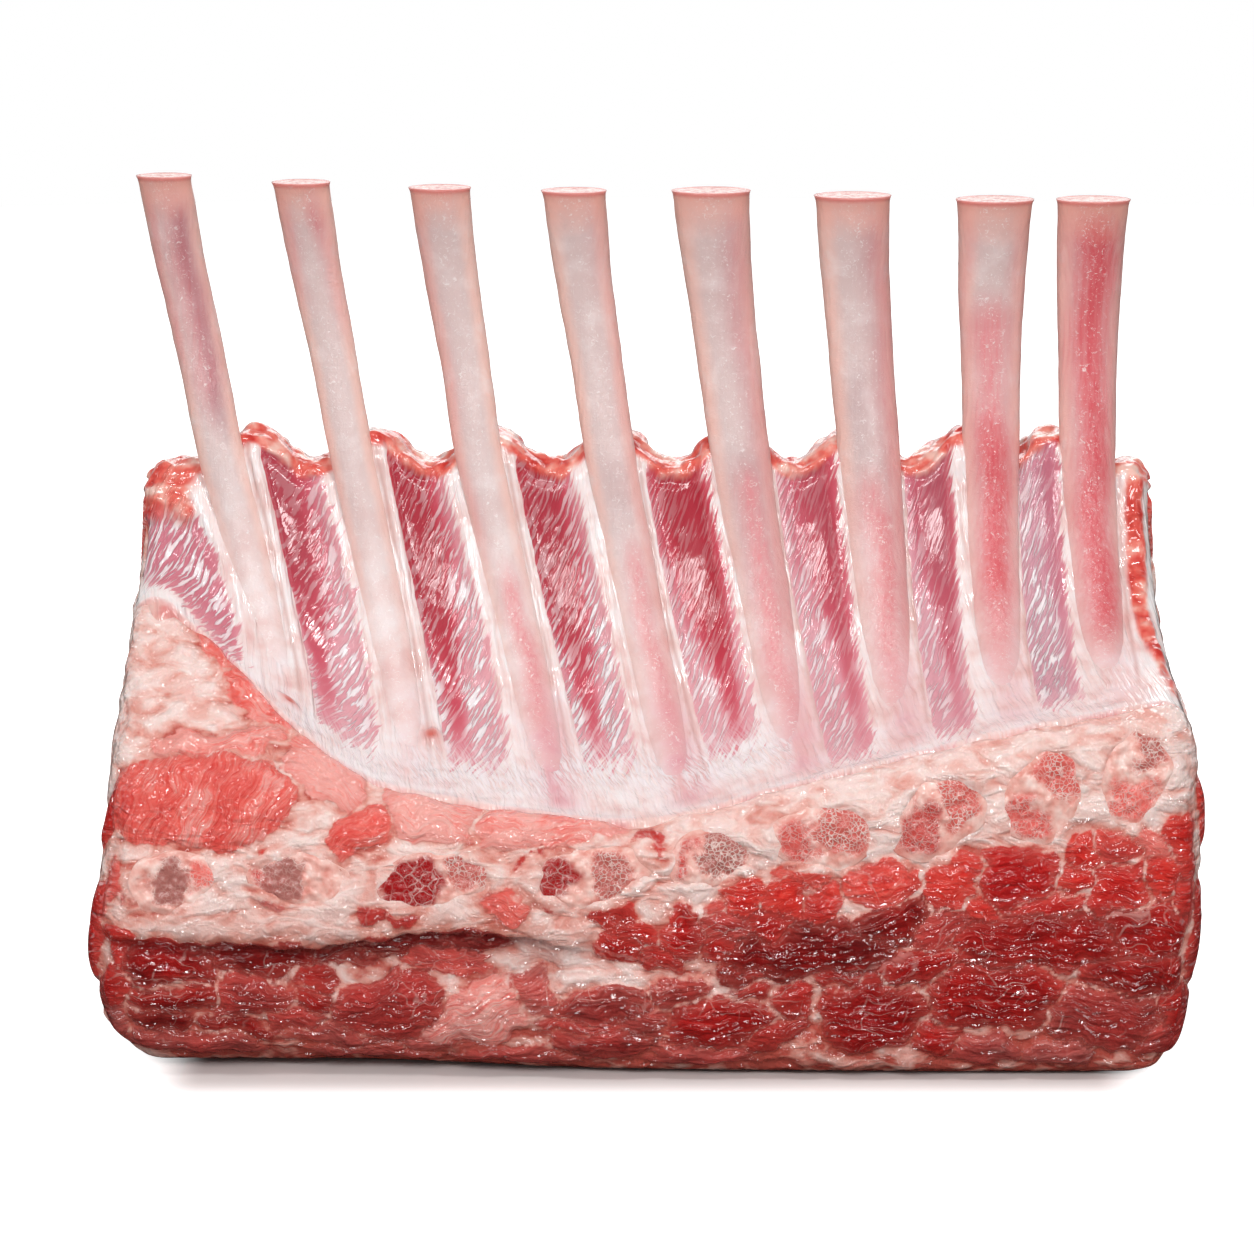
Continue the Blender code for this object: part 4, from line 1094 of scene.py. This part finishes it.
surface = add("BsdfPrincipled", {
    "Base Color": fat_color, "Roughness": 0.42, "Normal": relief, "Subsurface Weight": 0.12,
    "Subsurface Radius": (1.0, 0.6, 0.45), "Subsurface Scale": 0.003, "Coat Weight": 0.35,
    "Coat Roughness": 0.15, "Coat Normal": relief})
add("OutputMaterial", {"Surface": surface})

fat_cap.data.materials.append(cream)
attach(fat_cap, "root")
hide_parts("fat_cap")


# --- Rib bones ----------------------------------------------------------------------------
# Eight curved ribs, scraped clean above the meat and sawn off square. The bone is cream at
# its edges and greyish mauve along its middle; the sawn tops show red marrow in a thin rim.
RIB_ROUND = 44
RIB_ROWS = 190
RIB_CURVE_STEPS = 400
RIB_DISC_ROWS = 14
RIB_TOP_Y = 26.0
RIB_BOW_Y = 30.5
RIB_SIDE_BOW = 0.11
RIB_FLATNESS = 0.72
RIB_PROUD = 2.9
RIB_FOOT_DEPTH = 12.0
RIB_SINK = 5.5  # how suddenly the rib goes under at its foot
RIB_STAINS_AND_SHADE = (
    # rib, kind 0 mauve 1 pink 2 red, middle across the rib, half width, from and to along
    # it in mm from the sawn top, strength. The long mauve and pink bands on the right half of
    # ribs 3 to 6, with middles from 0.6 to 0.8, are painted shade; the others are the bone's own.
    (0, 0, 0.35, 0.4, 6, 62, 0.9), (0, 1, 0.1, 0.9, 0, 60, 0.5), (0, 1, -0.8, 0.3, 0, 50, 0.6),
    (1, 2, 0.45, 0.32, 5, 14, 0.7), (1, 1, -0.7, 0.4, 0, 30, 0.5), (1, 1, 0.7, 0.35, 0, 40, 0.4),
    (2, 1, 0.15, 0.5, 92, 140, 0.9), (2, 1, -0.8, 0.35, 0, 90, 0.35),
    (3, 1, 0.15, 0.5, 84, 140, 0.8), (3, 0, 0.0, 0.5, 64, 84, 0.2), (3, 1, 0.8, 0.4, 0, 150, 0.35),
    (4, 0, 0.15, 0.6, 62, 100, 0.45), (4, 1, 0.1, 0.55, 66, 150, 0.9),
    (4, 1, 0.3, 0.4, 96, 140, 0.5), (4, 1, 0.75, 0.5, 0, 150, 0.5), (4, 0, 0.6, 0.5, 10, 110, 0.22),
    (5, 1, 0.0, 0.6, 66, 140, 0.85), (5, 2, 0.2, 0.3, 74, 104, 0.3),
    (5, 0, -0.2, 0.5, 40, 66, 0.25), (5, 1, 0.75, 0.5, 0, 150, 0.55),
    (5, 0, 0.6, 0.5, 8, 110, 0.28),
    (6, 2, 0.05, 0.62, 52, 100, 0.9), (6, 1, 0.0, 0.8, 24, 135, 0.95),
    (6, 1, 0.8, 0.4, 0, 60, 0.4), (6, 1, -0.85, 0.25, 0, 60, 0.4),
    (7, 2, 0.1, 0.6, 2, 112, 0.85), (7, 1, 0.05, 1.0, 0, 128, 0.95),
)


def lining_at(x, down):
    """Place on the lining (Y, Z) at a share of the way down from the wall's edge."""
    loop, at = outlines(np.array([x]))
    index = (1.0 - down) * at["crest"]
    return np.array([np.interp(index, np.arange(loop.shape[1]), loop[0, :, k]) for k in (0, 1)])


def rib_path(number):
    """Centre line of a rib from its sawn top down into the flesh, with its widths."""
    top_x, edge_x, foot_x, top_z, top_width, edge_width = RIBS[number]
    half_depth = 0.5 * RIB_FLATNESS * edge_width
    edge_y = WALL_INNER_Y - RIB_PROUD + half_depth
    line = []
    for up in (1.0, 0.94, 0.66, 0.33):
        bow = 4.0 * up * (1.0 - up)
        line.append((mix(edge_x, top_x, up) + bow * RIB_SIDE_BOW * (top_x - edge_x),
                     mix(edge_y, RIB_TOP_Y, up) + bow * (RIB_BOW_Y - mix(edge_y, RIB_TOP_Y, 0.5)),
                     mix(WALL_TOP, top_z, up), mix(edge_width, top_width, up ** 1.3), -up))
    for down in (0.0, 0.15, 0.3, 0.45, 0.6, 0.75, 0.88, 0.98):
        x = rib_x(number, down)
        here = lining_at(x, down)
        way = lining_at(x, min(down + 0.02, 1.0)) - lining_at(x, down - 0.02)
        way /= np.linalg.norm(way)
        sink = mix(half_depth - RIB_PROUD, RIB_FOOT_DEPTH, down ** RIB_SINK)
        y, z = here + np.array([-way[1], way[0]]) * sink
        line.append((x, y, z, mix(edge_width, RIB_FOOT_WIDTH, down), down))
    return np.array(line)


rib_pieces = []
for number in range(len(RIBS)):
    curve = through(rib_path(number)[None], RIB_CURVE_STEPS)[0]
    rows = evenly(walked(curve[:, :3]), curve, RIB_ROWS)
    travelled = np.linspace(0.0, walked(curve[:, :3])[-1], RIB_ROWS)
    tangent = np.gradient(rows[:, :3], axis=0)
    tangent /= np.linalg.norm(tangent, axis=1, keepdims=True)
    straight = (1.0 - step(0.0, 6.0, travelled))[:, None]
    tangent = mix(tangent, np.array([0.0, 0.0, -1.0]), straight)
    tangent /= np.linalg.norm(tangent, axis=1, keepdims=True)
    sideways = np.array([1.0, 0.0, 0.0]) - tangent * tangent[:, :1]
    sideways /= np.linalg.norm(sideways, axis=1, keepdims=True)
    through_bone = np.cross(tangent, sideways)
    turn = np.linspace(0.0, 2.0 * math.pi, RIB_ROUND + 1)
    ring = (np.cos(turn)[None, :, None] * sideways[:, None]
            + np.sin(turn)[None, :, None] * RIB_FLATNESS * through_bone[:, None])
    half = 0.5 * rows[:, 3]
    body = rows[:, None, :3] + ring * half[:, None, None]
    disc_share = np.sin(np.linspace(0.0, 0.5 * math.pi, RIB_DISC_ROWS, endpoint=False))
    disc = rows[0, :3] + ring[:1] * half[0] * disc_share[:, None, None]
    foot_share = np.array([0.6, 0.0])
    foot = rows[-1, :3] + ring[-1:] * half[-1] * foot_share[:, None, None]
    tube = np.concatenate([disc, body, foot])
    side = np.broadcast_to(np.cos(turn)[None, :], tube.shape[:2])
    from_top = np.concatenate([np.zeros(RIB_DISC_ROWS), travelled, travelled[-1:] * np.ones(2)])
    sawn = np.concatenate([disc_share, np.ones(RIB_ROWS + 2)])
    down = np.concatenate([-np.ones(RIB_DISC_ROWS), rows[:, 4], np.ones(2)])
    spots = tube + 400.0 * number
    stains_and_shade = np.zeros((3,) + tube.shape[:2])
    wander = 0.25 * lumps(spots, 16.0, 43)
    for rib, kind, middle, wide, start, end, strength in RIB_STAINS_AND_SHADE:
        if rib == number:
            along_it = within(start - 6.0, start + 6.0, end - 12.0, end + 6.0, from_top)
            along_it *= strength * (1.0 - step(0.42, 0.80, down))
            stain_and_shade = bell(side + wander, middle, wide) * along_it[:, None]
            stains_and_shade[kind] = np.maximum(stains_and_shade[kind], stain_and_shade)
    beside = tube[..., 0] - rib_x(number, np.clip(down, 0.0, 1.0))[:, None]
    uneven = 0.22 * lumps(spots, 14.0, 41) + 0.10 * lumps(spots, 4.0, 42)
    way = normals_of(tube)
    fade = step(0.0, 3.0, from_top)[:, None]
    sawn_edge = 0.35 * (np.exp(-from_top / 0.6) * (sawn >= 1.0))[:, None]
    tube = tube + way * (uneven * fade - sawn_edge)[..., None]
    bone_looks = {
        "side": side, "from_top": from_top[:, None], "sawn": sawn[:, None], "down": down[:, None],
        "mauve": stains_and_shade[0], "pink": stains_and_shade[1], "red": stains_and_shade[2],
        "foot": foot_blush(number, beside, down[:, None]),
    }
    rib_pieces.append(build_sheet(f"rib_bone_{number + 1}", tube, bone_looks))

# Fresh bone with the skin scraped off it: dense, damp and slightly see-through, so the
# blood in its core shows as grey and mauve. Scraping leaves fine lines along its length.
# On some ribs the mauve and pink laid down the right half are painted shade.
BONE_MIDDLE = "E0C8C5"
BONE_EDGE = "FACFC3"
BONE_PALE = "F6EAE8"
BONE_MAUVE_AND_SHADE = "95606B"
BONE_PINK_AND_SHADE = "E58F92"
BONE_RED = "DA4B55"
BONE_SALMON = "F4AD9C"
FLECK_WHITE = "FDF6F4"
SAWN_RIM = "E27F78"
BONE_CLOUDS, FLECKS, PORES = 7.0, 1.1, 1.6  # mm
SCRAPES = (1100.0, 1100.0, 45.0)  # per metre
SAWN_CORE = ((0.35, "D2645F"), (0.5, "EFB2A6"), (0.65, "F9E0D8"))

bone, add, spot, look = start_material("scraped rib bone, damp", bone_looks)
cloud = add("TexNoise", {
    "Vector": spot, "Scale": 1000.0 / BONE_CLOUDS, "Detail": 4.0, "Roughness": 0.6})
scrape_place = add("VectorMath", [spot, SCRAPES], operation="MULTIPLY")
scrapes = add("TexNoise", {"Vector": scrape_place, "Scale": 1.0, "Detail": 3.0, "Roughness": 0.6})
outward = add("Math", [look["side"]], operation="ABSOLUTE")
outward = add("Math", [cloud, 0.35, outward], operation="MULTIPLY_ADD")
edge = add("MapRange", [outward, 0.55, 1.05], interpolation_type="SMOOTHSTEP")
bone_color = add("Mix", [edge, BONE_MIDDLE, BONE_EDGE], data_type="RGBA")
pale = add("MapRange", [cloud, 0.52, 0.72, 0.0, 0.5])
over_rib = add("TexNoise", {"Vector": spot, "Scale": 1000.0 / CLOUDS, "Detail": 3.0})
covered = add("ValToRGB", [over_rib], stops=MEMBRANE)
blush = add("MapRange", [over_rib, 0.35, 0.65, 0.35, 0.9])
blush = add("Math", [look["foot"], blush], operation="MULTIPLY")
covered = add("Mix", [blush, covered, FOOT_PINK], data_type="RGBA")
under = add("MapRange", [look["down"], -0.05, 0.62])
fibre = add("MapRange", [scrapes, 0.3, 0.7, 0.7, 1.15])
# the bone's own mauve, pink and red, and on some ribs painted shade down the right half
mauve, pink, red = (
    add("Math", [look[stain_and_shade], fibre], operation="MULTIPLY", use_clamp=True)
    for stain_and_shade in ("mauve", "pink", "red"))
flushed = add("Math", [cloud, -9.0, look["from_top"]], operation="MULTIPLY_ADD")
flushed = add("MapRange", [flushed, -4.0, 5.0, 0.75, 0.0])
flecks = add("TexNoise", {
    "Vector": spot, "Scale": 1000.0 / FLECKS, "Detail": 3.0, "Roughness": 0.75, "Distortion": 1.5})
fleck = add("MapRange", [flecks, 0.58, 0.66, 0.0, 0.65])
inner = add("MapRange", [outward, 0.45, 0.85, 1.0, 0.0])
fleck = add("Math", [fleck, inner], operation="MULTIPLY")
pores = add("TexNoise", {"Vector": spot, "Scale": 1000.0 / PORES, "Detail": 2.0, "Roughness": 0.7})
core = add("ValToRGB", [pores], stops=SAWN_CORE)
on_top = add("Math", [look["sawn"], 0.999], operation="LESS_THAN")
rim = add("MapRange", [look["sawn"], 0.84, 0.95, 0.0, 0.85])
near_top = add("MapRange", [look["from_top"], 0.5, 1.3, 1.0, 0.0])
rim = add("Math", [rim, near_top], operation="MULTIPLY")
for amount, color in (
        (pale, BONE_PALE), (under, covered), (mauve, BONE_MAUVE_AND_SHADE), (pink, BONE_PINK_AND_SHADE),
        (red, BONE_RED), (flushed, BONE_SALMON), (fleck, FLECK_WHITE), (on_top, core),
        (rim, SAWN_RIM)):
    bone_color = add("Mix", [amount, bone_color, color], data_type="RGBA")
scraped = add("Math", [cloud, 0.8, scrapes], operation="MULTIPLY_ADD")
scraped = add("Math", [flecks, 0.9, scraped], operation="MULTIPLY_ADD")
relief = add("Bump", {"Height": scraped, "Strength": 0.5, "Distance": 0.0004})
surface = add("BsdfPrincipled", {
    "Base Color": bone_color, "Roughness": 0.36, "Normal": relief, "Subsurface Weight": 0.12,
    "Subsurface Radius": (1.0, 0.6, 0.5), "Subsurface Scale": 0.003, "Coat Weight": 0.5,
    "Coat Roughness": 0.1, "Coat Normal": relief})
add("OutputMaterial", {"Surface": surface})

for number, piece in enumerate(rib_pieces):
    piece.data.materials.append(bone)
    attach(piece, "root")
    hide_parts(f"rib_{number + 1}")


# --- Chine bones --------------------------------------------------------------------------
# Pieces of the backbone left by the saw, which ran lengthways through nine vertebrae. Each
# shows a net of fine bone over red marrow, set in pale gristle.
CHINE_ROUND = 96
CHINE_RINGS = 34
CHINE_SIDE_RINGS = 8
CHINE_DEPTH = 9.0
CHINE_FACES = (
    # x, z and radius of the netted bone, how brown it is; x, z and radius of the red part,
    # how pale that is
    (-104, 45, 4.4, 1.7, -98, 48, 3, 0.9), (-79.5, 46, 5, 1.6, -84, 44, 3.5, 0.5),
    (-38.9, 48.3, 4.5, 0.5, -52, 44.8, 7.4, 0), (-7.6, 48.9, 6, 0.6, -23, 47.2, 6.6, 0.05),
    (17.6, 53.4, 6.6, 0.9, 3.5, 53, 6, 0.5), (43.5, 58.6, 7.6, 0.3, 30, 54.6, 6.2, 0.55),
    (68.6, 65.4, 6.4, 0.2, 57.4, 56.6, 6, 0.4), (91.4, 71.2, 6.2, 0.1, 80.8, 59.8, 5.4, 0.65),
    (110.4, 76.6, 5.6, 0.7, 106, 62.6, 6.4, 0.8),
)

chine_pieces = []
for number, (x, z, half_length, half_height, tilt, phase) in enumerate(CHINE):
    around = np.linspace(0.0, 2.0 * math.pi, CHINE_ROUND + 1)
    lump = chine_lump(around, phase)
    out = np.concatenate([np.linspace(0.0, 1.0, CHINE_RINGS), np.ones(CHINE_SIDE_RINGS), [0.0]])
    back = np.concatenate([np.zeros(CHINE_RINGS), np.linspace(0.15, 1.0, CHINE_SIDE_RINGS), [1.0]])
    px, pz = turned(out[:, None] * lump * half_length * np.cos(around),
                    out[:, None] * lump * half_height * np.sin(around), -tilt)
    px += x
    pz += z
    base_loop, base_at = outlines(np.array([x]))
    base = base_loop[0, base_at["front"]:]
    py = np.interp(pz, base[:, 1], base[:, 0]) - 0.3 + CHINE_DEPTH * back[:, None]
    points = np.stack([px, py, pz], axis=-1)
    face = (1.0 - back)[:, None] * step(0.0, 0.25, 1.0 - out)[:, None]
    points[..., 1] += face * (
        0.7 * lumps(points + 50.0, 5.0, 51) + 0.4 * lumps(points, 1.6, 52) - 0.4)
    net_x, net_z, net_radius, brown, red_x, red_z, red_radius, pale = CHINE_FACES[number]
    uneven = 3.2 * lumps(points, 5.0, 53) + 1.3 * lumps(points, 1.9, 54)
    net = 1.0 - step(-1.2, 1.2, np.hypot(px - net_x, pz - net_z) - net_radius + uneven)
    red = 1.0 - step(-1.6, 1.6, np.hypot(px - red_x, pz - red_z) - red_radius - uneven)
    ringed = 1.0 - step(0.78, 0.94, out[:, None] + 0.10 * lumps(points, 3.0, 55))
    net *= ringed
    red *= mix(1.0, ringed, 0.85)
    sawn_looks = {"net": net, "red": red * (1.0 - 0.7 * net), "brown": brown * net,
                  "pale": pale * np.ones(px.shape)}
    chine_pieces.append(build_sheet(
        f"chine_bone_{number + 1}", points[:, ::-1],
        {look: values[:, ::-1] for look, values in sawn_looks.items()}))

# The saw opened the spongy inside of each vertebra: a net of cream bone a millimetre wide
# over wet red marrow. Gristle round it is smooth and nearly white.
GRISTLE = ((0.3, "E08F82"), (0.5, "F0B9AD"), (0.7, "FADAD1"))
MARROW = "DC5F56"
MARROW_BROWN = "AE6A62"
MARROW_RED = "A80C12"
MARROW_PALE = "F87A70"
NET_CREAM = "FCE4DC"
BLOTCHES, CELLS, TORN_CELLS = 3.4, 0.95, 2.5  # mm
BENT = (0.002, 0.002, 0.002)  # metres by which the net is bent

spongy, add, spot, look = start_material("sawn vertebra, spongy bone and gristle", sawn_looks)
coarse = add("TexNoise", {"Vector": spot, "Scale": 1000.0 / BLOTCHES, "Detail": 3.0})
smooth = add("ValToRGB", [coarse], stops=GRISTLE)
bent = add("VectorMath", [coarse.outputs["Color"], BENT, spot], operation="MULTIPLY_ADD")
cells = add("TexVoronoi", {"Vector": bent, "Scale": 1000.0 / CELLS}, feature="DISTANCE_TO_EDGE")
walls = add("MapRange", [cells, 0.01, 0.15, 0.8, 0.0])
gaps = add("MapRange", [coarse, 0.36, 0.56, 0.25, 1.0])
walls = add("Math", [walls, gaps], operation="MULTIPLY")
smeared = add("MapRange", [look["brown"], 1.0, 1.5, 1.0, 0.2])
walls = add("Math", [walls, smeared], operation="MULTIPLY")
marrow = add("Mix", [look["brown"], MARROW, MARROW_BROWN], data_type="RGBA")
netted = add("Mix", [walls, marrow, NET_CREAM], data_type="RGBA")
faint = add("MapRange", [look["pale"], 0.0, 1.0, 0.12, 0.8])
faint = add("Math", [walls, faint], operation="MULTIPLY")
blood = add("Mix", [look["pale"], MARROW_RED, MARROW_PALE], data_type="RGBA")
torn = add("TexVoronoi", {"Vector": bent, "Scale": 1000.0 / TORN_CELLS}, feature="DISTANCE_TO_EDGE")
torn = add("MapRange", [torn, 0.01, 0.08, 0.42, 0.0])
torn = add("Math", [torn, gaps], operation="MULTIPLY")
faint = add("Math", [faint, torn], operation="MAXIMUM")
bloody = add("Mix", [faint, blood, NET_CREAM], data_type="RGBA")
for amount, color in ((look["net"], netted), (look["red"], bloody)):
    smooth = add("Mix", [amount, smooth, color], data_type="RGBA")
spongy_share = add("Math", [look["net"], look["red"]], operation="MAXIMUM")
holes = add("Math", [spongy_share, walls], operation="MULTIPLY")
holes = add("Math", [coarse, 4.0, holes], operation="MULTIPLY_ADD")
relief = add("Bump", {"Height": holes, "Strength": 0.8, "Distance": 0.0002})
surface = add("BsdfPrincipled", {
    "Base Color": smooth, "Roughness": 0.35, "Normal": relief, "Specular IOR Level": 0.2,
    "Subsurface Weight": 0.1, "Subsurface Radius": (1.0, 0.5, 0.4), "Subsurface Scale": 0.002,
    "Coat Weight": 0.5, "Coat Roughness": 0.1, "Coat Normal": relief})
add("OutputMaterial", {"Surface": surface})

for number, piece in enumerate(chine_pieces):
    piece.data.materials.append(spongy)
    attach(piece, "root")
    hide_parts(f"chine_{number + 1}")
